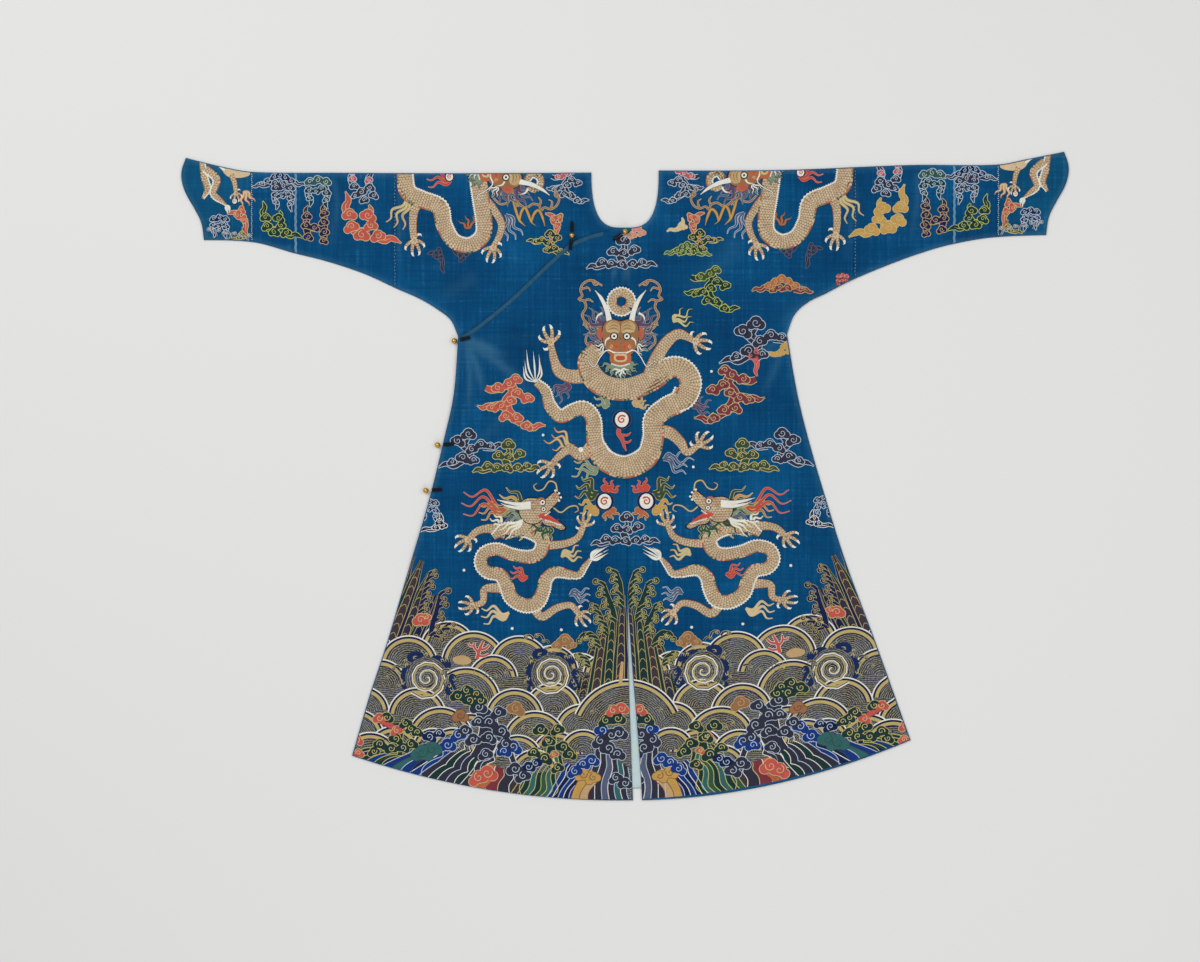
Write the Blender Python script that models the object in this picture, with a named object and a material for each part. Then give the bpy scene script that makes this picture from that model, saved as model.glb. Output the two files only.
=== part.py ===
"""A dragon robe laid flat and face up, in metres, as the pieces its maker would cut.

The robe lies in the XY plane: its neck is towards +Y, its hem towards -Y, and the floor is z = 0. The wearer's
left side is at +X. Each body length is one sheet of silk that runs up the front, over the shoulder fold and
down the back. The sleeves and cuffs are flattened tubes, and the front overlap lies over the right front.
Every cloth piece is a middle surface, worked out from the outline tables below, that a Solidify modifier
thickens to the wall.
"""
import math
from collections import namedtuple

import bmesh
import bpy

for thing in list(bpy.data.objects):
    bpy.data.objects.remove(thing)

# Cloth
WALL = 0.0015
SEAM = 0.0003            # gap between two pieces
FOLD_GAP = 0.0006        # space inside a pressed fold
AIR = 0.0024             # how far the front stands off the back, away from the edges
AIR_FADE = 0.070         # distance from an edge over which it does so
BACK = WALL / 2          # height of the back's middle surface
FRONT_EDGE = BACK + WALL + FOLD_GAP
FOLD_RADIUS = (FRONT_EDGE - BACK) / 2
LAYER = WALL + 0.0010    # one more layer of cloth, lying loosely

# Places across the robe, from the centre line
SLEEVE_SEAM = 0.506
LOWER_SEAM = 0.724
CUFF_SEAM = 0.8206
CUFF_TIP = 0.975

# The centre front: a seam down to the slit's top, which opens towards the hem
CENTRE_TOP = 0.545
SLIT_TOP = -0.196
HEM_CENTRE = -0.7125
SEAM_DRIFT = 0.0053
SLIT_DRIFT = 0.0123
SLIT_OPENING = 0.0198
SLIT_CURVE = 1.8         # power by which the right edge swings out towards the hem
INNER_FRONT_UNTIL = 0.45        # share of the way to the hem
INNER_FRONT_END = -0.155
INNER_FRONT_INSET = 0.004
INNER_FRONT_FADE = 0.08         # length over which the layers above it settle
LEFT_STEP_WIDTH = 0.22          # how far from the seam the left front comes down from the overlap's height
LEFT_STEP_TOP = 0.60            # where it begins, below the neck, and the length it takes
LEFT_STEP_FADE = 0.10

# The neck notch
NECK_HALF_WIDTH = 0.074
NECK_DEPTH = 0.126
NECK_TOP = 0.672
NECK_SIDE_CURVE = 0.6           # powers that square the notch's half circle
NECK_FOOT_CURVE = 0.75
CUTTER_DEPTH = (-0.01, 0.03)    # the cutter's foot and head
CUTTER_RISE = 0.03              # how far it stands past the shoulder

# The hem is a shallow bowl, turned a little about the slit
HEM_AXIS = 0.014
HEM_TILT = 0.0277
HEM_RISE = 0.304
BACK_HEM_SHORTER = 0.026

# The strip of lining that the slit shows
LINING = 0.0010
LINING_TOP = -0.180
LINING_SIDES = (-0.040, 0.080)

EDGING = 0.0010
EDGING_WIDTH = 0.009
EDGING_INSET = 0.0005           # from the overlap's own edge
EDGING_RUN = (0.20, 0.985)      # shares of the slant at which it starts and ends

BALL = 0.0064            # a button's radius
CORD = 0.0018            # a loop cord's radius

Side = namedtuple("Side", "down right left")            # half width against share of the way to the hem
SIDE = (
    Side(0.00, 0.367, 0.356),
    Side(0.13, 0.377, 0.378),
    Side(0.23, 0.398, 0.401),
    Side(0.37, 0.431, 0.439),
    Side(0.53, 0.475, 0.485),
    Side(0.71, 0.523, 0.543),
    Side(0.85, 0.563, 0.585),
    Side(1.00, 0.600, 0.628),
)

Top = namedtuple("Top", "across right left")            # height of the shoulder and sleeve fold
TOP = (
    Top(0.000, 0.668, 0.672),
    Top(0.340, 0.666, 0.673),
    Top(0.630, 0.667, 0.684),
    Top(0.820, 0.669, 0.685),
    Top(0.885, 0.680, 0.697),
    Top(0.975, 0.702, 0.715),
)

Under = namedtuple("Under", "out right left")           # height of the underarm seam against distance from the armpit
UNDER = (
    Under(0.000, 0.307, 0.312),
    Under(0.015, 0.341, 0.352),
    Under(0.045, 0.366, 0.381),
    Under(0.085, 0.390, 0.401),
    Under(0.135, 0.412, 0.427),
    Under(0.205, 0.444, 0.457),
    Under(0.285, 0.471, 0.487),
    Under(0.360, 0.490, 0.509),
    Under(0.456, 0.515, 0.525),
    Under(0.620, 0.519, 0.531),
)

Mouth = namedtuple("Mouth", "up across")                # the cuff's mouth, from its lower corner to its upper
MOUTH = (
    Mouth(0.00, 0.926),
    Mouth(0.22, 0.932),
    Mouth(0.38, 0.946),
    Mouth(0.58, 0.967),
    Mouth(0.72, 0.975),
    Mouth(0.84, 0.975),
    Mouth(1.00, 0.966),
)

Slant = namedtuple("Slant", "across height")            # the overlap's slanting edge, from neck to armpit
SLANT = (
    Slant(0.000, 0.553),
    Slant(0.033, 0.541),
    Slant(0.086, 0.526),
    Slant(0.125, 0.507),
    Slant(0.180, 0.458),
    Slant(0.253, 0.389),
    Slant(0.328, 0.328),
    Slant(0.367, 0.303),
)

Fold = namedtuple("Fold", "across up turn length breadth height")   # the largest soft folds of the front
FOLDS = (
    Fold(-0.22, 0.290, 8, 0.30, 0.050, 0.0010),
    Fold(0.20, 0.260, -12, 0.26, 0.060, -0.0009),
    Fold(-0.26, -0.020, 3, 0.34, 0.050, 0.0009),
    Fold(0.26, -0.200, -6, 0.36, 0.070, -0.0010),
    Fold(-0.66, 0.570, 70, 0.16, 0.050, 0.0008),
    Fold(0.66, 0.585, 108, 0.16, 0.050, 0.0008),
)

Fastening = namedtuple("Fastening", "name across up heading")   # heading: the way the loop runs from the ball
LOOP_LENGTH = 0.022
LOOP_SPREAD = 0.0022            # half the distance between its two legs
FROM_SIDE = 0.0045              # how much further a side loop starts from its ball
COLLARBONE = (-0.1166, 0.528)   # the collarbone ball
FACET_ROOM = 0.0006             # the cloth's flat faces may stand this far off its smooth surface

SILK = ("silk_blue", (0.010, 0.062, 0.190), 0.55, 0.0)
CUFF_SILK = ("cuff_silk", (0.013, 0.075, 0.210), 0.55, 0.0)
EDGE_SILK = ("edge_silk", (0.230, 0.240, 0.130), 0.60, 0.0)
LINING_SILK = ("lining_silk", (0.420, 0.600, 0.680), 0.60, 0.0)
GILT = ("gilt_brass", (0.600, 0.400, 0.130), 0.30, 1.0)
DARK_CORD = ("dark_cord", (0.020, 0.022, 0.035), 0.75, 0.0)


def smooth(x):
    """0 below 0, 1 above 1, and a soft step between."""
    x = min(max(x, 0.0), 1.0)
    return x * x * (3 - 2 * x)


def mix(a, b, share):
    return a + (b - a) * share


def read(table, column, at):
    """The table's column at a value of its first column, on a smooth curve through its rows."""
    keys = [row[0] for row in table]
    values = [getattr(row, column) for row in table]
    at = min(max(at, keys[0]), keys[-1])
    i = max(k for k in range(len(keys) - 1) if keys[k] <= at)

    def slope(k):
        low, high = max(k - 1, 0), min(k + 1, len(keys) - 1)
        return (values[high] - values[low]) / (keys[high] - keys[low])

    width = keys[i + 1] - keys[i]
    t = (at - keys[i]) / width
    return ((2 * t**3 - 3 * t**2 + 1) * values[i] + (t**3 - 2 * t**2 + t) * width * slope(i)
            + (3 * t**2 - 2 * t**3) * values[i + 1] + (t**3 - t**2) * width * slope(i + 1))


# ---- The outline ----

def sign(side):
    return 1 if side == "left" else -1


def armpit(side):
    return read(SIDE, side, 0.0), read(UNDER, side, 0.0)


def top(side, across):
    return read(TOP, side, across)


def under(side, across):
    return read(UNDER, side, across - armpit(side)[0])


def hem(x):
    off = x - HEM_AXIS
    return HEM_CENTRE + HEM_TILT * off + HEM_RISE * off * off


def centre(y):
    """The centre front seam, and below the slit's top the slit's right edge."""
    drift = SEAM_DRIFT * (CENTRE_TOP - y) / (CENTRE_TOP - SLIT_TOP)
    down = (SLIT_TOP - y) / (SLIT_TOP - HEM_CENTRE)
    return min(max(drift, 0), SEAM_DRIFT) + SLIT_DRIFT * max(down, 0) ** SLIT_CURVE


def slit_left(y):
    """The slit's left edge, which is the centre seam above the slit."""
    return centre(y) + SLIT_OPENING * smooth((SLIT_TOP - y) / (SLIT_TOP - HEM_CENTRE))


def slant(share):
    """Height of the overlap's slanting edge at a share of the way from the centre to the armpit."""
    return read(SLANT, "height", share * SLANT[-1].across)


def cuff_across(share_out, share_up):
    """Across the cuff from its seam to its curved mouth."""
    return mix(CUFF_SEAM + SEAM / 2, read(MOUTH, "across", share_up), share_out)


def outline():
    """Points round the whole robe, for distances from its edge."""
    points = []
    for side in ("left", "right"):
        s = sign(side)
        armpit_x, armpit_y = armpit(side)
        for k in range(81):
            t = k / 80
            wide = read(SIDE, side, t)
            points.append((s * wide, mix(armpit_y, hem(s * wide), t)))
            across = mix(armpit_x, MOUTH[0].across, t)
            points.append((s * across, under(side, across)))
            across = mix(NECK_HALF_WIDTH, MOUTH[-1].across, t)
            points.append((s * across, top(side, across)))
            across = mix(0.0, SIDE[-1][1], t)
            points.append((s * across, hem(s * across)))
            mouth = read(MOUTH, "across", t)
            points.append((s * mouth, mix(under(side, mouth), top(side, mouth), t)))
    return points


OUTLINE = outline()


# ---- Heights of the middle surfaces ----

def edge_distance(x, y):
    return min(math.hypot(x - px, y - py) for px, py in OUTLINE)


def folds(x, y):
    """Each fold is a soft ridge or trough: a bell across it, faded towards its ends."""
    total = 0.0
    for fold in FOLDS:
        turn = math.radians(fold.turn)
        along = (x - fold.across) * math.cos(turn) + (y - fold.up) * math.sin(turn)
        across = (y - fold.up) * math.cos(turn) - (x - fold.across) * math.sin(turn)
        total += fold.height * math.exp(-(2 * across / fold.breadth) ** 2 - (2 * along / fold.length) ** 2)
    return total


def front_height(x, y):
    """The front that lies straight on the back: pressed at the edges, lifted by trapped air between them."""
    lift = smooth(edge_distance(x, y) / AIR_FADE)
    return FRONT_EDGE + (AIR + folds(x, y)) * lift


def extra_layer(y):
    """1 where the inner front lies under the overlap, fading to 0 below its end."""
    return smooth((y - INNER_FRONT_END) / INNER_FRONT_FADE + 1)


def overlap_height(x, y):
    """The overlap, one layer above the inner front, and settling lower past the inner front's end."""
    return front_height(x, y) + LAYER * extra_layer(y)


def left_height(x, y):
    """The left front, as high as the overlap at their seam."""
    near = smooth(1 - x / LEFT_STEP_WIDTH) * smooth((LEFT_STEP_TOP - y) / LEFT_STEP_FADE)
    return front_height(x, y) + LAYER * extra_layer(y) * near


# ---- Making meshes ----

def material(name, colour, roughness, metallic):
    found = bpy.data.materials.get(name)
    if found:
        return found
    made = bpy.data.materials.new(name)
    made.use_nodes = True
    shader = made.node_tree.nodes["Principled BSDF"]
    shader.inputs["Base Color"].default_value = (*colour, 1.0)
    shader.inputs["Roughness"].default_value = roughness
    shader.inputs["Metallic"].default_value = metallic
    return made


def from_patches(name, patches, finish):
    """One mesh from grids of points, each a list of rows, welded where they meet."""
    shape = bmesh.new()
    for rows in patches:
        grid = [[shape.verts.new(point) for point in row] for row in rows]
        for lower, upper in zip(grid, grid[1:]):
            for a, b, c, d in zip(lower, lower[1:], upper[1:], upper):
                shape.faces.new((a, b, c, d))
    bmesh.ops.remove_doubles(shape, verts=shape.verts, dist=0.00002)
    mesh = bpy.data.meshes.new(name)
    shape.to_mesh(mesh)
    shape.free()
    mesh.materials.append(material(*finish))
    mesh.shade_smooth()
    made = bpy.data.objects.new(name, mesh)
    bpy.context.scene.collection.objects.link(made)
    return made


def thicken(piece, thickness):
    """Half the wall to each side of the middle surface."""
    wall = piece.modifiers.new("wall", "SOLIDIFY")
    wall.thickness = thickness
    wall.offset = 0.0
    wall.use_even_offset = True
    return piece


def facing_out(patches, side):
    """Patches drawn for the left side face up; on the right side each row is turned to do so."""
    if side == "left":
        return patches
    return [[row[::-1] for row in rows] for rows in patches]


# ---- The body lengths ----

SKIRT_ROWS = 14
YOKE_ROWS = 8
BACK_SKIRT_ROWS = 6
BACK_YOKE_ROWS = 4
BODY_COLUMNS = 9
UNDERARM_COLUMNS = 4
FOLD_STEPS = 4


def shoulder_line(side, across):
    """Where the front stops being flat and turns over the fold."""
    return top(side, across) - FOLD_RADIUS - WALL / 2


def underarm_across(side, share):
    """Across from the armpit to the sleeve seam, closer together where the curve is steep."""
    return mix(armpit(side)[0], SLEEVE_SEAM - SEAM / 2, share ** 1.5)


def yoke_across(side, share, y):
    """From the centre seam to the armpit's column."""
    return mix(sign(side) * centre(y) + SEAM / 2, armpit(side)[0], share)


def yoke_rows(side, count, height):
    """From armpit level to the shoulder line, from the centre to the armpit."""
    s, level = sign(side), armpit(side)[1]
    rows = []
    for j in range(count + 1):
        row = []
        for i in range(BODY_COLUMNS + 1):
            share = i / BODY_COLUMNS
            y = mix(level, shoulder_line(side, yoke_across(side, share, level)), j / count)
            across = yoke_across(side, share, y)
            row.append((s * across, y, height(s * across, y)))
        rows.append(row)
    return rows


def underarm_rows(side, count, height):
    """From the underarm curve to the shoulder line, from the armpit to the sleeve seam."""
    s = sign(side)
    rows = []
    for j in range(count + 1):
        row = []
        for i in range(UNDERARM_COLUMNS + 1):
            across = underarm_across(side, i / UNDERARM_COLUMNS)
            y = mix(under(side, across), shoulder_line(side, across), j / count)
            row.append((s * across, y, height(s * across, y)))
        rows.append(row)
    return rows


def skirt_rows(side, count, height, inner, shorter=0.0, until=1.0, inset=0.0):
    """From armpit level down to the hem, or to a share of the way, with the side edge spreading outwards."""
    s, level = sign(side), armpit(side)[1]
    rows = []
    for j in range(count + 1):
        down = until * j / count
        wide = read(SIDE, side, down) - inset * smooth(down / 0.1)
        row = []
        for i in range(BODY_COLUMNS + 1):
            share = i / BODY_COLUMNS
            y = mix(level, hem(s * wide * share) + shorter * (1 - share ** 4), down)
            x = mix(inner(y), s * wide, share)
            row.append((x, y, height(x, y)))
        rows.append(row)
    return rows[::-1]


def fold_rows(front_row, back_row):
    """Half a turn from the front's top row over the shoulder to the back's."""
    rows = []
    for k in range(FOLD_STEPS + 1):
        angle = math.pi * k / FOLD_STEPS
        row = []
        for front, back in zip(front_row, back_row):
            radius = (front[2] - back[2]) / 2
            row.append((front[0], front[1] + radius * math.sin(angle), back[2] + radius * (1 + math.cos(angle))))
        rows.append(row)
    return rows


def back_height(x, y):
    return BACK


def body_length(side, front, inner, front_until=1.0, front_inset=0.0):
    """One length of silk: front skirt and yoke, over the shoulder fold, back yoke and skirt."""
    s = sign(side)
    front_skirt = skirt_rows(side, round(SKIRT_ROWS * front_until), front, inner,
                             until=front_until, inset=front_inset)
    front_yoke = yoke_rows(side, YOKE_ROWS, front)
    front_underarm = underarm_rows(side, YOKE_ROWS, front)
    back_skirt = skirt_rows(side, BACK_SKIRT_ROWS, back_height, lambda y: centre(y) + s * SEAM / 2,
                            shorter=BACK_HEM_SHORTER)
    back_yoke = yoke_rows(side, BACK_YOKE_ROWS, back_height)
    back_underarm = underarm_rows(side, BACK_YOKE_ROWS, back_height)
    front_patches = [front_skirt, front_yoke, front_underarm,
                     fold_rows(front_yoke[-1], back_yoke[-1]), fold_rows(front_underarm[-1], back_underarm[-1])]
    back_patches = [back_skirt[::-1], back_yoke[::-1], back_underarm[::-1]]
    patches = facing_out(front_patches + back_patches, side)
    piece = thicken(from_patches("body_" + side, patches, SILK), WALL)
    cut_neck(piece)
    return piece


def neck_cutter():
    """A prism through both layers, its side a curve that is steep at the shoulder and flat at the bottom."""
    steps = 14
    edge = []
    for k in range(2 * steps + 1):
        angle = math.pi * k / (2 * steps)
        across = -NECK_HALF_WIDTH * math.copysign(abs(math.cos(angle)) ** NECK_SIDE_CURVE, math.cos(angle))
        edge.append((across, NECK_TOP - NECK_DEPTH * math.sin(angle) ** NECK_FOOT_CURVE))
    head = NECK_TOP + CUTTER_RISE
    edge = [(-NECK_HALF_WIDTH, head), *edge, (NECK_HALF_WIDTH, head)]
    shape = bmesh.new()
    foot, height = CUTTER_DEPTH[0], CUTTER_DEPTH[1] - CUTTER_DEPTH[0]
    face = shape.faces.new([shape.verts.new((x, y, foot)) for x, y in edge])
    moved = bmesh.ops.extrude_face_region(shape, geom=[face])["geom"]
    bmesh.ops.translate(shape, vec=(0, 0, height), verts=[v for v in moved if isinstance(v, bmesh.types.BMVert)])
    bmesh.ops.recalc_face_normals(shape, faces=shape.faces)
    mesh = bpy.data.meshes.new("neck_cutter")
    shape.to_mesh(mesh)
    shape.free()
    cutter = bpy.data.objects.new("neck_cutter", mesh)
    cutter.hide_render = True
    cutter.display_type = "WIRE"
    bpy.context.scene.collection.objects.link(cutter)
    return cutter


def cut_neck(piece):
    notch = piece.modifiers.new("neck", "BOOLEAN")
    notch.operation = "DIFFERENCE"
    notch.object = NECK_CUTTER


# ---- The overlap, its edging and the lining ----

OVERLAP_ROWS = 18
EDGING_COLUMNS = 18


def overlap_point(share, down):
    """A point of the overlap at shares of the way from the centre to the side and from slant to hem."""
    wide = read(SIDE, "right", down)
    y = mix(slant(share), hem(-wide * share), down)
    x = mix(centre(y) - SEAM / 2, -wide, share)
    return x, y, overlap_height(x, y)


def front_overlap():
    rows = [[overlap_point(i / BODY_COLUMNS, j / OVERLAP_ROWS) for i in range(BODY_COLUMNS + 1)]
            for j in range(OVERLAP_ROWS + 1)]
    piece = thicken(from_patches("front_overlap", [rows], SILK), WALL)
    cut_neck(piece)


def overlap_edging():
    """A strip on the overlap along its slanting edge, starting beside the neck."""
    lift = WALL / 2 + 2 * SEAM + EDGING / 2
    rows = []
    for inward in (0.0, 0.5, 1.0):
        row = []
        for i in range(EDGING_COLUMNS + 1):
            share = mix(*EDGING_RUN, i / EDGING_COLUMNS)
            here, ahead = overlap_point(share, 0.0), overlap_point(share + 0.01, 0.0)
            run = math.hypot(ahead[0] - here[0], ahead[1] - here[1])
            inside = (-(ahead[1] - here[1]) / run, (ahead[0] - here[0]) / run)
            reach = EDGING_INSET + inward * EDGING_WIDTH
            x, y = here[0] + inside[0] * reach, here[1] + inside[1] * reach
            row.append((x, y, overlap_height(x, y) + lift))
        rows.append(row)
    thicken(from_patches("overlap_edging", [rows], EDGE_SILK), EDGING)


def back_lining():
    low, high = LINING_SIDES
    columns, lines = 4, 6
    z = WALL + SEAM + LINING / 2
    rows = []
    for j in range(lines + 1):
        row = []
        for i in range(columns + 1):
            x = mix(low, high, i / columns)
            row.append((x, mix(hem(x) + BACK_HEM_SHORTER, LINING_TOP, j / lines), z))
        rows.append(row)
    thicken(from_patches("back_lining", [rows], LINING_SILK), LINING)


# ---- Sleeves and cuffs ----

TUBE_FRONT = 8
TUBE_BACK = 4
TUBE_FOLD = 4


def tube_ring(side, across_at):
    """A flattened ring: up the front wall, over the top fold, down the back wall and round the under seam.

    across_at gives the distance from the centre line at a share of the way up."""
    s = sign(side)

    def place(up):
        across = across_at(up)
        inset = FOLD_RADIUS + WALL / 2
        return across, mix(under(side, across) + inset, top(side, across) - inset, up)

    def half_turn(up, first):
        across, y = place(up)
        radius = (front_height(s * across, y) - BACK) / 2
        for k in range(1, TUBE_FOLD):
            angle = first + math.pi * k / TUBE_FOLD
            ring.append((s * across, y + radius * math.sin(angle), BACK + radius * (1 + math.cos(angle))))

    ring = []
    for k in range(TUBE_FRONT + 1):
        across, y = place(k / TUBE_FRONT)
        ring.append((s * across, y, front_height(s * across, y)))
    half_turn(1.0, 0.0)
    for k in range(TUBE_BACK + 1):
        across, y = place(1 - k / TUBE_BACK)
        ring.append((s * across, y, BACK))
    half_turn(0.0, math.pi)
    return ring + ring[:1]


def tube(name, side, stations, across_at, finish):
    rows = [tube_ring(side, lambda up, out=k / stations: across_at(out, up)) for k in range(stations + 1)]
    patches = facing_out([rows], "right" if side == "left" else "left")
    return thicken(from_patches(name, patches, finish), WALL)


def sleeve(side, name, start, end, stations):
    low, high = start + SEAM / 2, end - SEAM / 2
    tube(name + side, side, stations, lambda out, up: mix(low, high, out), SILK)


# ---- Buttons and loops ----

def side_edge(y):
    """Across to the right side edge at a height."""
    level = armpit("right")[1]
    down = (level - y) / (level - hem(-SIDE[-1].right))
    return read(SIDE, "right", down)


def beside(y):
    """A ball's place just clear of the right side edge."""
    return -(side_edge(y) + WALL / 2 + SEAM + BALL)


def ball(name, x, y, z):
    shape = bmesh.new()
    bmesh.ops.create_uvsphere(shape, u_segments=16, v_segments=8, radius=BALL)
    mesh = bpy.data.meshes.new(name)
    shape.to_mesh(mesh)
    shape.free()
    mesh.materials.append(material(*GILT))
    mesh.shade_smooth()
    made = bpy.data.objects.new(name, mesh)
    made.location = (x, y, z)
    bpy.context.scene.collection.objects.link(made)


def cord_loop(name, x, y, z, heading, steps=6):
    """A cord that runs out from a button, turns and comes back: two legs side by side."""
    turn, length, spread = math.radians(heading), LOOP_LENGTH, LOOP_SPREAD
    ahead, aside = (math.cos(turn), math.sin(turn)), (-math.sin(turn), math.cos(turn))
    path = [(0.0, spread), (length - spread, spread)]
    for k in range(1, steps):
        angle = math.pi / 2 - math.pi * k / steps
        path.append((length - spread + spread * math.cos(angle), spread * math.sin(angle)))
    path += [(length - spread, -spread), (0.0, -spread)]
    curve = bpy.data.curves.new(name, "CURVE")
    curve.dimensions = "3D"
    curve.bevel_depth = CORD
    curve.bevel_resolution = 2
    curve.use_fill_caps = True
    line = curve.splines.new("POLY")
    line.points.add(len(path) - 1)
    for point, (out, off) in zip(line.points, path):
        point.co = (x + out * ahead[0] + off * aside[0], y + out * ahead[1] + off * aside[1], z, 1.0)
    curve.materials.append(material(*DARK_CORD))
    bpy.context.scene.collection.objects.link(bpy.data.objects.new(name, curve))


def resting(*spots):
    """Height at which a piece rests on the uppermost cloth under all of these spots."""
    return max(overlap_height(x, y) for x, y in spots) + WALL / 2 + FACET_ROOM


def fasten():
    """Five balls with their loops. The side balls lie on the floor beside the edge."""
    fastenings = (
        Fastening("neck", 0.0, 0.536, 215),
        Fastening("collarbone", *COLLARBONE, 262),
        Fastening("underarm", beside(0.297), 0.297, 12),
        Fastening("side_upper", beside(0.068), 0.068, 4),
        Fastening("side_lower", beside(-0.032), -0.032, 4),
    )
    clear, over_edging = BALL + SEAM + CORD, EDGING + 2 * SEAM
    for f in fastenings:
        ahead = (math.cos(math.radians(f.heading)), math.sin(math.radians(f.heading)))
        on_side = f.name not in ("neck", "collarbone")
        start = clear + (FROM_SIDE if on_side else 0.0)
        x, y = f.across + start * ahead[0], f.up + start * ahead[1]
        height = resting((f.across, f.up), (x, y), (x + LOOP_LENGTH * ahead[0], y + LOOP_LENGTH * ahead[1]))
        if f.name in ("collarbone", "underarm"):
            height += over_edging
        ball("button_" + f.name, f.across, f.up, BALL + (SEAM if on_side else height))
        cord_loop("loop_" + f.name, x, y, height + CORD, f.heading)
    x, y = COLLARBONE[0], COLLARBONE[1] + clear
    cord_loop("strap_collarbone", x, y, resting((x, y), (x, y + LOOP_LENGTH)) + CORD, 90)


NECK_CUTTER = neck_cutter()
body_length("left", left_height, slit_left)
body_length("right", front_height, lambda y: centre(y) - SEAM / 2,
            front_until=INNER_FRONT_UNTIL, front_inset=INNER_FRONT_INSET)
front_overlap()
overlap_edging()
back_lining()
for which in ("left", "right"):
    sleeve(which, "sleeve_upper_", SLEEVE_SEAM, LOWER_SEAM, 5)
    sleeve(which, "sleeve_lower_", LOWER_SEAM, CUFF_SEAM, 3)
    tube("cuff_" + which, which, 5, cuff_across, CUFF_SILK)
fasten()
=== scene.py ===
"""The looks of a dragon robe that lies flat and face up: its silk, its creases and its woven figures.

The cloth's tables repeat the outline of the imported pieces, in metres. The figures' tables are in millimetres
in the robe's frame: across (the wearer's left is positive) and up (towards the neck), with the origin in the
middle. A figure is drawn for the wearer's right half and carried to the left half by `to_left`.
"""
import math
from collections import namedtuple

import bpy
import numpy as np
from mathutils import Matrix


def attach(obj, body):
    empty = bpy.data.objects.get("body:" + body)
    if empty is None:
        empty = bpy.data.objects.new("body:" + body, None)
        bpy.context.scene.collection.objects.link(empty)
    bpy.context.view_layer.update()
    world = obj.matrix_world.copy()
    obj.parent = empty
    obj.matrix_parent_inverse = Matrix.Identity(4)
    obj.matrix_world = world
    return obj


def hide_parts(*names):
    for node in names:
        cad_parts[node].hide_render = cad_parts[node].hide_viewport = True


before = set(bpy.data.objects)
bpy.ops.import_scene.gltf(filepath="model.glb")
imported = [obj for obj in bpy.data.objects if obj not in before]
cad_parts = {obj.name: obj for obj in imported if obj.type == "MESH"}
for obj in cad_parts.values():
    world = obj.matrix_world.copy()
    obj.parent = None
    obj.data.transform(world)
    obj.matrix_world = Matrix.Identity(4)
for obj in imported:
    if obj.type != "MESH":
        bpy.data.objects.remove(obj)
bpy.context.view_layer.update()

MM = 0.001

# ---- Cloth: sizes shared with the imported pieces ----

WALL = 0.0011
SEAM = 0.0004
BACK = 0.0012            # middle of the back, which leaves room under it for its own figures
FOLD_GAP = 0.0006
AIR = 0.0024             # the front's rise over the back away from the edges, reached at this distance
AIR_FADE = 0.070
FRONT_EDGE = BACK + WALL + FOLD_GAP
LAYER = 0.0025

SLEEVE_SEAM = 0.506
LOWER_SEAM = 0.724
CUFF_SEAM = 0.8206

CENTRE_TOP = 0.545
SLIT_TOP = -0.196
HEM_CENTRE = -0.7125
SEAM_DRIFT = 0.0053
SLIT_DRIFT = 0.0123
SLIT_OPENING = 0.0198
INNER_FRONT_UNTIL = 0.45
INNER_FRONT_END = -0.155
NECK_HALF_WIDTH = 0.074
NECK_DEPTH = 0.126
NECK_TOP = 0.672
HEM_AXIS = 0.014
HEM_TILT = 0.0277
HEM_RISE = 0.304
BACK_HEM_SHORTER = 0.026
LINING_TOP = -0.180
LINING_SIDES = (-0.040, 0.080)
EDGING_WIDTH = 0.009
EDGING_WALL = 0.0005
EDGING_REST = 0.0003         # its edges over the cloth, and how far its middle stands above them
EDGING_CROWN = 0.0004
LINING_WALL = 0.0006

Side = namedtuple("Side", "down right left")
SIDE = (
    Side(0.00, 0.367, 0.356),
    Side(0.13, 0.377, 0.378),
    Side(0.23, 0.398, 0.401),
    Side(0.37, 0.431, 0.439),
    Side(0.53, 0.475, 0.485),
    Side(0.71, 0.523, 0.543),
    Side(0.85, 0.563, 0.585),
    Side(1.00, 0.600, 0.628),
)
Top = namedtuple("Top", "across right left")
TOP = (
    Top(0.000, 0.668, 0.672),
    Top(0.340, 0.666, 0.673),
    Top(0.630, 0.667, 0.684),
    Top(0.820, 0.669, 0.685),
    Top(0.885, 0.680, 0.697),
    Top(0.975, 0.702, 0.715),
)
Under = namedtuple("Under", "out right left")
UNDER = (
    Under(0.000, 0.307, 0.312),
    Under(0.015, 0.341, 0.352),
    Under(0.045, 0.366, 0.381),
    Under(0.085, 0.390, 0.401),
    Under(0.135, 0.412, 0.427),
    Under(0.205, 0.444, 0.457),
    Under(0.285, 0.471, 0.487),
    Under(0.360, 0.490, 0.509),
    Under(0.456, 0.515, 0.525),
    Under(0.620, 0.519, 0.531),
)
Mouth = namedtuple("Mouth", "up across")
MOUTH = (
    Mouth(0.00, 0.926),
    Mouth(0.22, 0.932),
    Mouth(0.38, 0.946),
    Mouth(0.58, 0.967),
    Mouth(0.72, 0.975),
    Mouth(0.84, 0.975),
    Mouth(1.00, 0.966),
)
Slant = namedtuple("Slant", "across height")
SLANT = (
    Slant(0.000, 0.553),
    Slant(0.033, 0.541),
    Slant(0.086, 0.526),
    Slant(0.125, 0.507),
    Slant(0.180, 0.458),
    Slant(0.253, 0.389),
    Slant(0.328, 0.328),
    Slant(0.367, 0.303),
)

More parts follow.
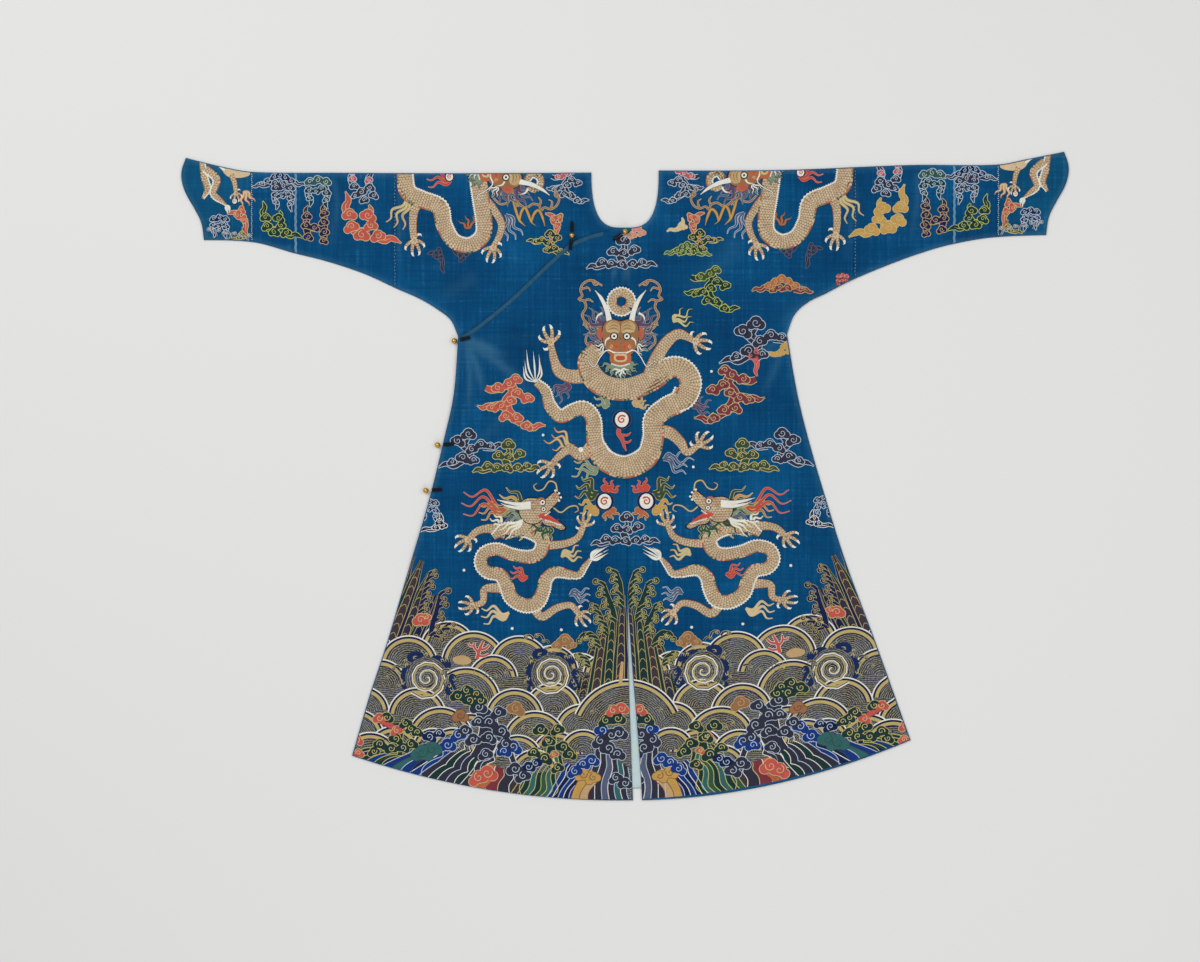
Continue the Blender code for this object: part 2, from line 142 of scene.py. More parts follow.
# Creases of the front: from and to, breadth, height (a trough is negative) and how much the silk is rubbed
# along it
Crease = namedtuple("Crease", "x0 y0 x1 y1 breadth height rub")
CREASES = (
    Crease(-0.355, 0.298, -0.250, 0.262, 0.016, 0.0014, 0.55),
    Crease(-0.350, 0.290, -0.300, 0.170, 0.014, 0.0012, 0.45),
    Crease(-0.345, 0.296, -0.150, 0.300, 0.014, -0.0012, 0.05),
    Crease(-0.340, 0.285, -0.190, 0.185, 0.018, 0.0012, 0.40),
    Crease(-0.352, 0.285, -0.335, 0.120, 0.012, 0.0009, 0.35),
    Crease(-0.330, 0.440, -0.420, 0.380, 0.030, 0.0010, 0.12),
    Crease(-0.140, 0.460, -0.030, 0.452, 0.012, -0.0009, 0.00),
    Crease(-0.400, -0.018, -0.050, -0.024, 0.014, -0.0010, 0.00),
    Crease(-0.120, -0.168, 0.010, -0.166, 0.010, -0.0008, 0.00),
    Crease(0.006, 0.525, 0.004, 0.410, 0.012, 0.0008, 0.75),
    Crease(-0.022, 0.500, -0.024, 0.415, 0.010, 0.0007, 0.45),
    Crease(0.340, 0.300, 0.230, 0.240, 0.020, 0.0012, 0.20),
    Crease(0.345, 0.290, 0.300, 0.160, 0.016, 0.0011, 0.22),
    Crease(0.250, 0.520, 0.120, 0.380, 0.040, 0.0009, 0.10),
    Crease(0.350, 0.330, 0.420, 0.420, 0.030, 0.0010, 0.10),
    Crease(-0.500, 0.640, -0.492, 0.440, 0.016, 0.0006, 0.18),
    Crease(0.500, 0.650, 0.492, 0.450, 0.016, 0.0006, 0.18),
    Crease(-0.640, 0.650, -0.634, 0.490, 0.012, 0.0006, 0.22),
    Crease(0.640, 0.665, 0.634, 0.500, 0.012, 0.0006, 0.22),
    Crease(0.160, -0.060, 0.420, -0.110, 0.030, -0.0008, 0.04),
    Crease(-0.200, -0.320, -0.480, -0.420, 0.040, 0.0008, 0.00),
    Crease(0.200, -0.330, 0.520, -0.400, 0.040, 0.0008, 0.00),
    Crease(-0.260, 0.140, -0.380, 0.020, 0.024, 0.0007, 0.10),
    Crease(0.120, 0.640, 0.300, 0.560, 0.050, 0.0009, 0.08),
    Crease(-0.130, 0.640, -0.310, 0.560, 0.050, 0.0009, 0.08),
)
# Slow swells of the whole front: wavelength, heading in degrees and height
Swell = namedtuple("Swell", "wavelength heading height phase")
SWELLS = (
    Swell(0.310, 20, 0.00045, 0.4),
    Swell(0.190, 105, 0.00035, 1.9),
    Swell(0.120, 62, 0.00020, 3.1),
    Swell(0.085, 150, 0.00014, 5.0),
)


def smooth(x):
    """0 below 0, 1 above 1, and a soft step between."""
    x = np.clip(x, 0.0, 1.0)
    return x * x * (3 - 2 * x)


def mix(a, b, share):
    """a, moved by a share of the way to b."""
    return a + (b - a) * share


def read(table, column, at):
    """The table's column at values of its first column, on a cubic with each row's slope from its
    neighbours."""
    keys = np.array([row[0] for row in table], float)
    values = np.array([getattr(row, column) for row in table], float)
    low, high = np.r_[0, np.arange(len(keys) - 1)], np.r_[np.arange(1, len(keys)), len(keys) - 1]
    slope = (values[high] - values[low]) / (keys[high] - keys[low])
    at = np.clip(at, keys[0], keys[-1])
    i = np.clip(np.searchsorted(keys, at, "right") - 1, 0, len(keys) - 2)
    width = keys[i + 1] - keys[i]
    t = (at - keys[i]) / width
    return ((2 * t**3 - 3 * t**2 + 1) * values[i] + (t**3 - 2 * t**2 + t) * width * slope[i]
            + (3 * t**2 - 2 * t**3) * values[i + 1] + (t**3 - t**2) * width * slope[i + 1])


# ---- The outline ----

def sign(side):
    """+1 on the wearer's left, -1 on the right."""
    return 1 if side == "left" else -1


def armpit(side):
    """Half width and height where the side edge meets the sleeve."""
    return getattr(SIDE[0], side), getattr(UNDER[0], side)


def top(side, across):
    """Height of the shoulder's and sleeve's upper edge at a distance across."""
    return read(TOP, side, across)


def under(side, across):
    """Height of the sleeve's lower edge, read at the distance out from the armpit."""
    return read(UNDER, side, across - armpit(side)[0])


def hem(x):
    """The hem: its lowest height, plus tilt * off, plus rise * off squared, off being x from its axis."""
    off = x - HEM_AXIS
    return HEM_CENTRE + HEM_TILT * off + HEM_RISE * off * off


def centre(y):
    """The centre front seam, and below the slit's top the slit's right edge."""
    drift = SEAM_DRIFT * (CENTRE_TOP - y) / (CENTRE_TOP - SLIT_TOP)
    down = (SLIT_TOP - y) / (SLIT_TOP - HEM_CENTRE)
    return np.clip(drift, 0, SEAM_DRIFT) + SLIT_DRIFT * np.maximum(down, 0) ** 1.8


def slit_left(y):
    """The slit's left edge: its right edge plus an opening that grows softly down to the hem."""
    return centre(y) + SLIT_OPENING * smooth((SLIT_TOP - y) / (SLIT_TOP - HEM_CENTRE))


def slant(share):
    """Height of the overlap's upper edge at a share of its way from the centre to the side."""
    return read(SLANT, "height", share * SLANT[-1].across)


def side_across(side, x, y):
    """Half width of the skirt at a height, for points near x."""
    level = armpit(side)[1]
    return read(SIDE, side, (level - y) / (level - hem(x)))


def neck_edge(angle):
    """The notch's edge: angle 0 at the shoulder, half pi at its bottom on the centre line."""
    return NECK_HALF_WIDTH * np.cos(angle) ** 0.6, NECK_TOP - NECK_DEPTH * np.sin(angle) ** 0.75


def outline():
    """Points every few millimetres round the whole robe."""
    t = np.linspace(0, 1, 160)
    found = []
    for side in ("left", "right"):
        s = sign(side)
        armpit_x, armpit_y = armpit(side)
        wide = read(SIDE, side, t)
        found.append((s * wide, mix(armpit_y, hem(s * wide), t)))
        across = mix(armpit_x, MOUTH[0].across, t)
        found.append((s * across, under(side, across)))
        across = mix(NECK_HALF_WIDTH, MOUTH[-1].across, t)
        found.append((s * across, top(side, across)))
        across = mix(0.0, getattr(SIDE[-1], side), t)
        found.append((s * across, hem(s * across)))
        mouth = read(MOUTH, "across", t)
        found.append((s * mouth, mix(under(side, mouth), top(side, mouth), t)))
        notch_x, notch_y = neck_edge(t * math.pi / 2)
        found.append((s * notch_x, notch_y))
    return np.concatenate([np.stack(pair, 1) for pair in found])


# ---- Heights, kept on an even grid and read between its points ----

PITCH = 0.004
GRID_X = np.arange(-1.0, 1.0 + PITCH, PITCH)
GRID_Y = np.arange(-0.74, 0.74 + PITCH, PITCH)


def crease_at(x, y, crease):
    """1 on the crease's line, falling off as a bell across it and fading out towards its ends."""
    run = np.array([crease.x1 - crease.x0, crease.y1 - crease.y0])
    length = np.hypot(*run)
    ahead = run / length
    along = ((x - crease.x0) * ahead[0] + (y - crease.y0) * ahead[1]) / length
    bend = 0.03 * length * np.sin(math.pi * along * 1.7)
    off = (y - crease.y0) * ahead[0] - (x - crease.x0) * ahead[1] - bend
    ends = smooth((along + 0.08) / 0.16) * smooth((1.05 - along) / 0.6)
    return np.exp(-(2 * off / crease.breadth) ** 2) * ends


def make_fields():
    """The front's height over the back and the rubbed share of its silk, on the grid."""
    x, y = np.meshgrid(GRID_X, GRID_Y, indexing="ij")
    edge = outline()
    away = np.full(x.shape, 9.0)
    for px, py in edge:
        np.minimum(away, (x - px) ** 2 + (y - py) ** 2, out=away)
    away = np.sqrt(away)
    lift = smooth(away / AIR_FADE)
    height = np.full(x.shape, AIR)
    rub = np.zeros(x.shape)
    for crease in CREASES:
        share = crease_at(x, y, crease)
        height += crease.height * share
        rub = np.maximum(rub, crease.rub * share)
    for swell in SWELLS:
        turn = math.radians(swell.heading)
        run = x * math.cos(turn) + y * math.sin(turn)
        height += swell.height * np.sin(2 * math.pi * run / swell.wavelength + swell.phase)
    rub = np.maximum(rub, 0.30 * np.exp(-((away - 0.002) / 0.006) ** 2))
    return FRONT_EDGE + np.maximum(height, 0) * lift, rub


HEIGHT, RUB = make_fields()


def from_field(field, x, y):
    """Bilinear reading of a grid."""
    u = np.clip((x - GRID_X[0]) / PITCH, 0, len(GRID_X) - 1.001)
    v = np.clip((y - GRID_Y[0]) / PITCH, 0, len(GRID_Y) - 1.001)
    i, j = u.astype(int), v.astype(int)
    u, v = u - i, v - j
    return (field[i, j] * (1 - u) * (1 - v) + field[i + 1, j] * u * (1 - v)
            + field[i, j + 1] * (1 - u) * v + field[i + 1, j + 1] * u * v)


def front_height(x, y):
    """Height of the front's middle surface, read from its grid."""
    return from_field(HEIGHT, x, y)


def extra_layer(y):
    """1 where the inner front lies beneath, falling softly to 0 below its end."""
    return smooth((y - INNER_FRONT_END + 0.08) / 0.08)


def overlap_height(x, y):
    """The front, raised by one layer where the inner front lies beneath."""
    return front_height(x, y) + LAYER * extra_layer(y)


def left_height(x, y):
    """The front, raised as the overlap is at the centre, less so outwards and up to the neck."""
    return front_height(x, y) + LAYER * extra_layer(y) * smooth(1 - x / 0.22) * smooth((0.60 - y) / 0.10)


def back_height(x, y):
    """The back lies flat."""
    return np.full(np.shape(x), BACK)


def on_overlap(x, y):
    """True between the centre line and the side edge, below the slant."""
    return (x < centre(y)) & (y < read(SLANT, "height", -x))


def cloth_top(x, y):
    """The outer face of whichever piece of the front is uppermost."""
    right = np.where(on_overlap(x, y), overlap_height(x, y), front_height(x, y))
    return np.where(x < centre(y), right, left_height(x, y)) + WALL / 2


# ---- Meshes from grids ----

def mesh_of(name, patches, weld=True):
    """One mesh from grids of points, each an array of rows, columns and x, y, z."""
    points, faces, start = [], [], 0
    for grid in patches:
        n, m = grid.shape[:2]
        index = np.arange(n * m).reshape(n, m) + start
        faces.append(np.stack([index[:-1, :-1], index[:-1, 1:], index[1:, 1:], index[1:, :-1]],
                              -1).reshape(-1, 4))
        points.append(grid.reshape(-1, 3))
        start += n * m
    points, faces = np.concatenate(points), np.concatenate(faces)
    if weld and len(patches) > 1:
        _, first, same = np.unique(np.round(points / 2e-6).astype(np.int64), axis=0,
                                   return_index=True, return_inverse=True)
        points, faces = points[first], same.reshape(-1)[faces]
    return mesh_from(name, points, faces)


def mesh_from(name, points, faces):
    """A smooth mesh, its points and faces put in as whole arrays."""
    mesh = bpy.data.meshes.new(name)
    mesh.vertices.add(len(points))
    mesh.vertices.foreach_set("co", points.astype(np.float32).ravel())
    mesh.loops.add(faces.size)
    mesh.loops.foreach_set("vertex_index", faces.astype(np.int32).ravel())
    mesh.polygons.add(len(faces))
    mesh.polygons.foreach_set("loop_start", np.arange(0, faces.size, faces.shape[1], dtype=np.int32))
    mesh.update(calc_edges=True)
    mesh.validate()
    mesh.shade_smooth()
    return mesh


def place(name, mesh, material):
    """An object of the mesh, with its finish, that rides the root body."""
    made = bpy.data.objects.new(name, mesh)
    bpy.context.scene.collection.objects.link(made)
    mesh.materials.append(material)
    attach(made, "root")
    return made


def add_values(mesh, name, values):
    """One number for each point, for a material to read."""
    mesh.attributes.new(name, "FLOAT", "POINT").data.foreach_set("value", values.astype(np.float32))


# ---- Materials ----

def operator(operation, swap=False):
    """An arithmetic method that joins its value and another with the named Math operation."""
    return lambda value, other: value.joined(operation, other, swap)


class Value:
    """A shader number with arithmetic: each operator adds its Math node."""

    def __init__(self, paint, socket):
        """A socket, and the paint that adds nodes for it."""
        self.paint, self.socket = paint, socket

    def joined(self, operation, other, swap=False):
        """One Math node on this value and another, in swapped order where swap is set."""
        first, second = (other, self) if swap else (self, other)
        return self.paint.math(operation, first, second)

    __add__, __radd__ = operator("ADD"), operator("ADD", True)
    __sub__, __rsub__ = operator("SUBTRACT"), operator("SUBTRACT", True)
    __mul__, __rmul__ = operator("MULTIPLY"), operator("MULTIPLY", True)
    __truediv__ = operator("DIVIDE")

    def size(self):
        """The value without its sign."""
        return self.joined("ABSOLUTE", 0.0)

    def above(self, low, high):
        """A soft step from 0 at low to 1 at high."""
        return self.paint.node("ShaderNodeMapRange", {"interpolation_type": "SMOOTHSTEP"},
                               {"Value": self, "From Min": low, "From Max": high})["Result"]


class Paint:
    """Builds one material's nodes."""

    def __init__(self, name, roughness=0.6, metallic=0.0, sheen=0.0, specular=0.10):
        """The finish starts with these constants on its shader."""
        self.material = bpy.data.materials.new(name)
        self.material.use_nodes = True
        self.tree = self.material.node_tree
        self.shader = self.tree.nodes["Principled BSDF"]
        self.shader.inputs["Roughness"].default_value = roughness
        self.shader.inputs["Metallic"].default_value = metallic
        self.shader.inputs["Sheen Weight"].default_value = sheen
        self.shader.inputs["Specular IOR Level"].default_value = specular

    def put(self, socket, value):
        """Links a value to the socket, or sets its number, colour or vector."""
        if isinstance(value, Value):
            value = value.socket
        if isinstance(value, bpy.types.NodeSocket):
            self.tree.links.new(value, socket)
        elif hasattr(socket.default_value, "__len__") and len(socket.default_value) == 4 and len(value) == 3:
            socket.default_value = (*value, 1.0)
        else:
            socket.default_value = value

    def node(self, kind, settings=None, values=None):
        """Any node, by its type, its settings and its sockets' values. Gives its outputs by name."""
        made = self.tree.nodes.new(kind)
        for name, setting in (settings or {}).items():
            if name == "stops":
                for k, (at, colour) in enumerate(setting):
                    stop = made.color_ramp.elements[k] if k < 2 else made.color_ramp.elements.new(at)
                    stop.position = at
                    stop.color = (*colour, 1.0)
            else:
                setattr(made, name, setting)
        for name, value in (values or {}).items():
            socket = made.inputs[name] if isinstance(name, int) else next(
                s for s in made.inputs if s.name == name and s.enabled)
            self.put(socket, value)
        return {s.name: Value(self, s) for s in made.outputs if s.enabled}

    def math(self, operation, first, second):
        """One Math node on two numbers."""
        return self.node("ShaderNodeMath", {"operation": operation}, {0: first, 1: second})["Value"]

    def blend(self, share, first, second, how="MIX"):
        """A colour, moved by a share of the way from first to second."""
        return self.node("ShaderNodeMix", {"data_type": "RGBA", "blend_type": how},
                         {"Factor": share, "A": first, "B": second})["Result"]

    def here(self):
        """The piece's own coordinates, in metres."""
        return self.node("ShaderNodeTexCoord")["Object"]

    def attribute(self, name, output="Fac"):
        """A value kept on the piece's mesh."""
        return self.node("ShaderNodeAttribute", {"attribute_name": name})[output]

    def stretched(self, where, scale, turn=0.0):
        """Coordinates turned, then multiplied by a scale for each axis."""
        return self.node("ShaderNodeMapping", {}, {"Vector": where, "Scale": scale,
                                                   "Rotation": (0, 0, turn)})["Vector"]

    def noise(self, where, scale, detail=2.0, rough=0.5):
        """Soft noise from 0 to 1, scale patches to the metre."""
        return self.node("ShaderNodeTexNoise", {}, {"Vector": where, "Scale": scale, "Detail": detail,
                                                    "Roughness": rough})["Fac"]

    def bump(self, height, distance, strength=1.0):
        """Tilts the light as if the surface rose by height * distance."""
        normal = self.node("ShaderNodeBump", {}, {"Height": height, "Distance": distance,
                                                  "Strength": strength})["Normal"]
        self.put(self.shader.inputs["Normal"], normal)

    def set(self, **values):
        """Feeds the shader's sockets by their names, with _ for each space."""
        for name, value in values.items():
            self.put(self.shader.inputs[name.replace("_", " ")], value)


def linear(*rgb):
    """A screen colour of 0 to 255 as the linear values that shaders take."""
    c = np.array(rgb, float) / 255
    return tuple(float(v) for v in np.where(c <= 0.04045, c / 12.92, ((c + 0.055) / 1.055) ** 2.4))


def weave(paint, where, pitch=0.0011):
    """Fine warp and weft: two sets of ribs a thread apart, and uneven threads."""
    across = paint.node("ShaderNodeTexWave", {"bands_direction": "X"},
                        {"Vector": where, "Scale": 1 / (pitch * 6.283), "Distortion": 0.4,
                         "Detail": 1.0})["Fac"]
    along = paint.node("ShaderNodeTexWave", {"bands_direction": "Y"},
                       {"Vector": where, "Scale": 1 / (pitch * 6.283), "Distortion": 0.4,
                        "Detail": 1.0})["Fac"]
    return across * 0.5 + along * 0.5


def silk(name, deep, middle, light, rubbed):
    """Plain-woven blue silk: a mottled dye, streaks along both threads, and pale rubbed creases."""
    p = Paint(name, 0.58, specular=0.05)
    where = p.here()
    patches = p.noise(where, 5.0, 3.0)
    warp = p.noise(p.stretched(where, (150, 5, 1)), 1.0, 3.0, 0.6)
    weft = p.noise(p.stretched(where, (6, 170, 1)), 1.0, 3.0, 0.6)
    fine = p.noise(p.stretched(where, (420, 30, 1)), 1.0, 1.0)
    dots = p.noise(where, 260.0, 1.0)
    tone = patches * 0.42 + warp * 0.22 + weft * 0.17 + fine * 0.10 + dots * 0.09
    dye = p.node("ShaderNodeValToRGB", {"stops": ((0.38, deep), (0.63, light), (0.50, middle))},
                 {"Fac": tone})["Color"]
    wear = p.attribute("rub") * (0.45 + 0.9 * weft) + (warp * weft).above(0.33, 0.42) * 0.16
    p.set(Base_Color=p.blend(wear, dye, rubbed), Roughness=0.50 + 0.16 * patches)
    p.bump(weave(p, where) * 0.7 + dots * 0.3, 0.00025, 0.5)
    return p.material


def figures(name):
    """The woven figures: each dye as its threads show it, a little uneven, with the ground showing at worn
    spots."""
    p = Paint(name, 0.62)
    where = p.here()
    dye = p.attribute("dye", "Color")
    weft = p.noise(p.stretched(where, (40, 600, 1)), 1.0, 2.0)
    patches = p.noise(where, 45.0, 2.0)
    shade = 0.70 + 0.34 * weft + 0.26 * patches
    flecks = p.noise(where, 340.0, 2.0, 0.7)
    tinted = p.node("ShaderNodeVectorMath", {"operation": "SCALE"}, {"Vector": dye, "Scale": shade})["Vector"]
    worn = flecks.above(0.60, 0.72) * 0.45
    p.set(Base_Color=p.blend(worn, tinted, linear(28, 55, 90)))
    p.bump(weave(p, where, 0.0013) * 0.6 + flecks * 0.4, 0.0003, 0.6)
    return p.material


def scales(name):
    """Gold-wrapped threads laid as rows of scales, their colour uneven thread tone with pale painted highlight
    flecks for the gold's glint: the run map gives metres along and across the body.
    """
    p = Paint(name, 0.50, metallic=0.08, specular=0.25)
    run = p.node("ShaderNodeUVMap", {"uv_map": "run"})["UV"]
    parts = p.node("ShaderNodeSeparateXYZ", {}, {"Vector": run})
    along, across = parts["X"] / 0.0056, parts["Y"] / 0.0060
    row = p.math("FLOOR", along, 0.0)
    odd = p.math("MODULO", row, 2.0) * 0.5
    u = along - row
    v = p.math("FRACT", across + odd, 0.0) - 0.5
    reach = u * u + v * v * 3.4
    edge = reach.above(0.55, 0.95) + (0.10 - u).above(0.0, 0.10)
    where = p.here()
    flecks = p.noise(where, 260.0, 2.0, 0.7)
    patches = p.noise(where, 60.0, 2.0)
    # Dark and middle stops are the threads' uneven tone; the pale stop is painted highlight, random flecks
    # standing in for the glint of the gold wrapping.
    body = p.node("ShaderNodeValToRGB", {"stops": (
        (0.32, linear(108, 84, 72)), (0.70, linear(240, 226, 196)), (0.44, linear(180, 152, 120)),
        (0.56, linear(208, 184, 148)))}, {"Fac": flecks * 0.65 + patches * 0.35})["Color"]
    tone = p.attribute("dye", "Color")
    coloured = p.blend(0.45, body, tone)
    p.set(Base_Color=p.blend(edge * 0.66, coloured, linear(96, 76, 68)))
    p.bump(reach * -0.5 + flecks * 0.4, 0.0005, 0.7)
    return p.material


def sea_threads(name):
    """The hatched sea: broken lines of cream and navy that follow the run map's second coordinate, in
    metres."""
    p = Paint(name, 0.62)
    run = p.node("ShaderNodeUVMap", {"uv_map": "run"})["UV"]
    parts = p.node("ShaderNodeSeparateXYZ", {}, {"Vector": run})
    where = p.here()
    sway = p.noise(where, 60.0, 2.0)
    count = parts["Y"] / 0.0044 + sway * 1.8
    share = count - p.math("FLOOR", count, 0.0)
    bell = 1.0 - (share - 0.5).size() * 2.0
    broken = p.noise(p.stretched(where, (260, 260, 1)), 1.0, 2.0, 0.7)
    cream = (bell + broken * 0.9 - 0.45).above(0.38, 0.62)
    patches = p.noise(where, 30.0, 2.0)
    dark = p.node("ShaderNodeValToRGB", {"stops": ((0.40, linear(18, 24, 52)), (0.60, linear(44, 60, 92)))},
                  {"Fac": patches})["Color"]
    pale = p.node("ShaderNodeValToRGB", {"stops": ((0.40, linear(128, 122, 96)),
                                                   (0.60, linear(176, 168, 132)))},
                  {"Fac": broken})["Color"]
    p.set(Base_Color=p.blend(cream * 0.68, dark, pale))
    p.bump(weave(p, where, 0.0013) * 0.5 + cream * 0.5, 0.0003, 0.6)
    return p.material


def plain(name, colour, roughness, bump_scale, depth, metallic=0.0, vary=0.25, sheen=0.0, darker=0.5):
    """A finish with its colour broken up by noise and a fine bump."""
    p = Paint(name, roughness, metallic, sheen)
    where = p.here()
    tone = p.noise(where, bump_scale * 0.12, 3.0)
    fine = p.noise(where, bump_scale, 2.0)
    dark = tuple(v * darker for v in colour)
    p.set(Base_Color=p.blend((tone * 0.6 + fine * 0.4).above(0.5 - vary, 0.5 + vary), dark, colour),
          Roughness=roughness - 0.08 + 0.16 * tone)
    p.bump(fine, depth, 0.6)
    return p.material


GROUND = silk("silk_blue", linear(0, 54, 96), linear(1, 70, 114), linear(10, 90, 140), linear(72, 124, 154))
CUFF_GROUND = silk("cuff_silk", linear(1, 58, 96), linear(4, 74, 112), linear(16, 92, 134),
                   linear(72, 124, 148))
FIGURES = figures("woven_figures")
SCALES = scales("gold_scales")
SEA = sea_threads("sea_threads")
LINING = plain("lining_silk", linear(204, 224, 226), 0.6, 900.0, 0.0003, vary=0.4, sheen=0.1, darker=0.8)
EDGING = plain("edge_silk", linear(40, 92, 124), 0.6, 900.0, 0.0003, vary=0.3, sheen=0.1, darker=0.6)
GILT = plain("gilt_brass", linear(226, 178, 84), 0.26, 500.0, 0.0001, metallic=1.0, darker=0.7)
DARK = plain("dark_cord", linear(20, 24, 34), 0.8, 1500.0, 0.0004, sheen=0.1)

# ---- The cloth pieces ----

CELL = 0.0065


def steps(length, cell=CELL):
    """How many cells a length holds, two at least."""
    return max(int(round(length / cell)), 2)


def in_3d(x, y, height):
    """A grid of points whose z is the height over x and y."""
    return np.stack([x, y, height(x, y)], -1)


def shell(name, patches, material, side="left"):
    """A cloth piece: its grids welded and given half its wall to each side."""
    if side == "right":
        patches = [grid[:, ::-1] for grid in patches]
    mesh = mesh_of(name, patches)
    made = place(name, mesh, material)
    where = np.empty(len(mesh.vertices) * 3, np.float32)
    mesh.vertices.foreach_get("co", where)
    where = where.reshape(-1, 3).astype(float)
    over = where[:, 2] > BACK + WALL
    add_values(mesh, "rub", from_field(RUB, where[:, 0], where[:, 1]) * over)
    wall = made.modifiers.new("wall", "SOLIDIFY")
    wall.thickness = WALL
    wall.offset = 0.0
    return made


def fold_over(front_row, back_row, count=5):
    """Half a turn from the front's edge row to the back's, about the middle between them."""
    angle = np.linspace(0, math.pi, count)[:, None]
    radius = (front_row[:, 2] - back_row[:, 2])[None] / 2
    x = np.repeat(front_row[None, :, 0], count, 0)
    y = front_row[None, :, 1] + radius * np.sin(angle)
    return np.stack([x, y, back_row[None, :, 2] + radius * (1 + np.cos(angle))], -1)


FOLD_RADIUS = (FRONT_EDGE - BACK) / 2
FOLD_INSET = FOLD_RADIUS + WALL / 2
NECK_STEPS = 26
UNDERARM_STEPS = 26


def upper_edge(side):
    """The yoke's upper edge, from the notch's bottom up its side and along the shoulder to the armpit's
    column."""
    across, height = neck_edge(np.linspace(math.pi / 2, 0.0, NECK_STEPS))
    reach = armpit(side)[0]
    run = np.linspace(NECK_HALF_WIDTH, reach, steps(reach - NECK_HALF_WIDTH) + 1)
    join = top(side, NECK_HALF_WIDTH) - FOLD_INSET
    height = np.minimum(height, join)
    return (np.r_[across, run[1:]], np.r_[height, top(side, run[1:]) - FOLD_INSET], NECK_STEPS - 1)


def shares(side):
    """Shares of the way from the centre to the side, one for each point of the upper edge."""
    return upper_edge(side)[0] / armpit(side)[0]


def yoke(side, count, height, centre_line):
    """Ruled from armpit level to the upper edge."""
    s, level = sign(side), armpit(side)[1]
    across, up, _ = upper_edge(side)
    share = np.linspace(0, 1, count + 1)[:, None]
    y = mix(level, up[None], share)
    x = s * np.repeat(across[None], count + 1, 0)
    x = x + (centre_line(y)) * (1 - across / across[-1])[None]
    return in_3d(x, y, height)


def underarm(side, count, height):
    """Ruled from the sleeve's lower edge to its upper, from the armpit to the sleeve's seam."""
    s = sign(side)
    across = mix(armpit(side)[0], SLEEVE_SEAM - SEAM / 2, np.linspace(0, 1, UNDERARM_STEPS) ** 1.6)
    share = np.linspace(0, 1, count + 1)[:, None]
    y = mix(under(side, across)[None], top(side, across)[None] - FOLD_INSET, share)
    return in_3d(s * np.repeat(across[None], count + 1, 0), y, height)


def skirt(side, count, height, centre_line, columns, shorter=0.0, until=1.0, inset=0.0):
    """From the hem up to armpit level, its side edge spreading downwards."""
    s, level = sign(side), armpit(side)[1]
    down = np.linspace(until, 0, count + 1)[:, None]
    wide = read(SIDE, side, down) - inset * smooth(down / 0.1)
    y = mix(level, hem(s * wide * columns) + shorter * (1 - columns ** 4), down)
    x = mix(centre_line(y), s * wide, columns[None])
    return in_3d(x, y, height)


def body_length(side, front, front_line, until=1.0, inset=0.0):
    """Front skirt and yoke, over the shoulder fold, back yoke and skirt."""
    s = sign(side)
    columns = shares(side)
    back_line = lambda y: centre(y) + s * SEAM / 2
    rows, back_rows = steps(0.36), 24
    low = skirt(side, steps(until), front, front_line, columns, until=until, inset=inset)
    high = yoke(side, rows, front, front_line)
    arm = underarm(side, rows, front)
    back_low = skirt(side, 60, back_height, back_line, columns, shorter=BACK_HEM_SHORTER)
    back_high = yoke(side, back_rows, back_height, back_line)
    back_arm = underarm(side, back_rows, back_height)
    first = upper_edge(side)[2]
    patches = [low, high, arm, fold_over(high[-1, first:], back_high[-1, first:]),
               fold_over(arm[-1], back_arm[-1]), back_low[::-1], back_high[::-1], back_arm[::-1]]
    shell("silk_body_" + side, patches, GROUND, side)
    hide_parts("body_" + side)


def overlap_grid(columns, rows):
    """Shares of the way from the centre to the side and from the slant or neck to the hem."""
    share = columns[None]
    down = rows[:, None]
    wide = read(SIDE, "right", down)
    lift = slant(share)
    angle = np.linspace(0, math.pi / 2, 200)
    notch_x, notch_y = neck_edge(angle)
    notch = np.interp(share * SLANT[-1].across, notch_x[::-1], notch_y[::-1])
    start = np.where(share * SLANT[-1].across < 0.045, np.minimum(lift, notch), lift)
    y = mix(start, hem(-wide * share), down)
    x = mix(centre(y) - SEAM / 2, -wide, share)
    return in_3d(x, y, overlap_height)


def front_overlap():
    """The overlap: its upper edge on the slant, its side edge the skirt's."""
    columns = np.linspace(0, 1, steps(0.45))
    grid = overlap_grid(columns, np.linspace(1, 0, steps(1.1)))
    shell("silk_overlap", [grid], GROUND, "right")
    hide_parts("front_overlap")


def overlap_edging():
    """A narrow strip along the slant, a little rounded across."""
    share = np.linspace(0.13, 0.985, 90)
    edge = overlap_grid(share, np.array([0.0]))[0]
    ahead = np.gradient(edge[:, :2], axis=0)
    ahead /= np.linalg.norm(ahead, axis=1)[:, None]
    down = np.stack([-ahead[:, 1], ahead[:, 0]], 1)
    across = np.linspace(0, 1, 5)[:, None]
    x = edge[None, :, 0] + down[None, :, 0] * EDGING_WIDTH * across
    y = edge[None, :, 1] + down[None, :, 1] * EDGING_WIDTH * across
    rise = EDGING_CROWN * np.sin(math.pi * across) + EDGING_REST
    z = overlap_height(x, y) + WALL / 2 + rise
    grid = np.stack([x, y, z], -1)
    made = place("silk_edging", mesh_of("silk_edging", [grid]), EDGING)
    wall = made.modifiers.new("wall", "SOLIDIFY")
    wall.thickness = EDGING_WALL
    wall.offset = 1.0
    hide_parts("overlap_edging")


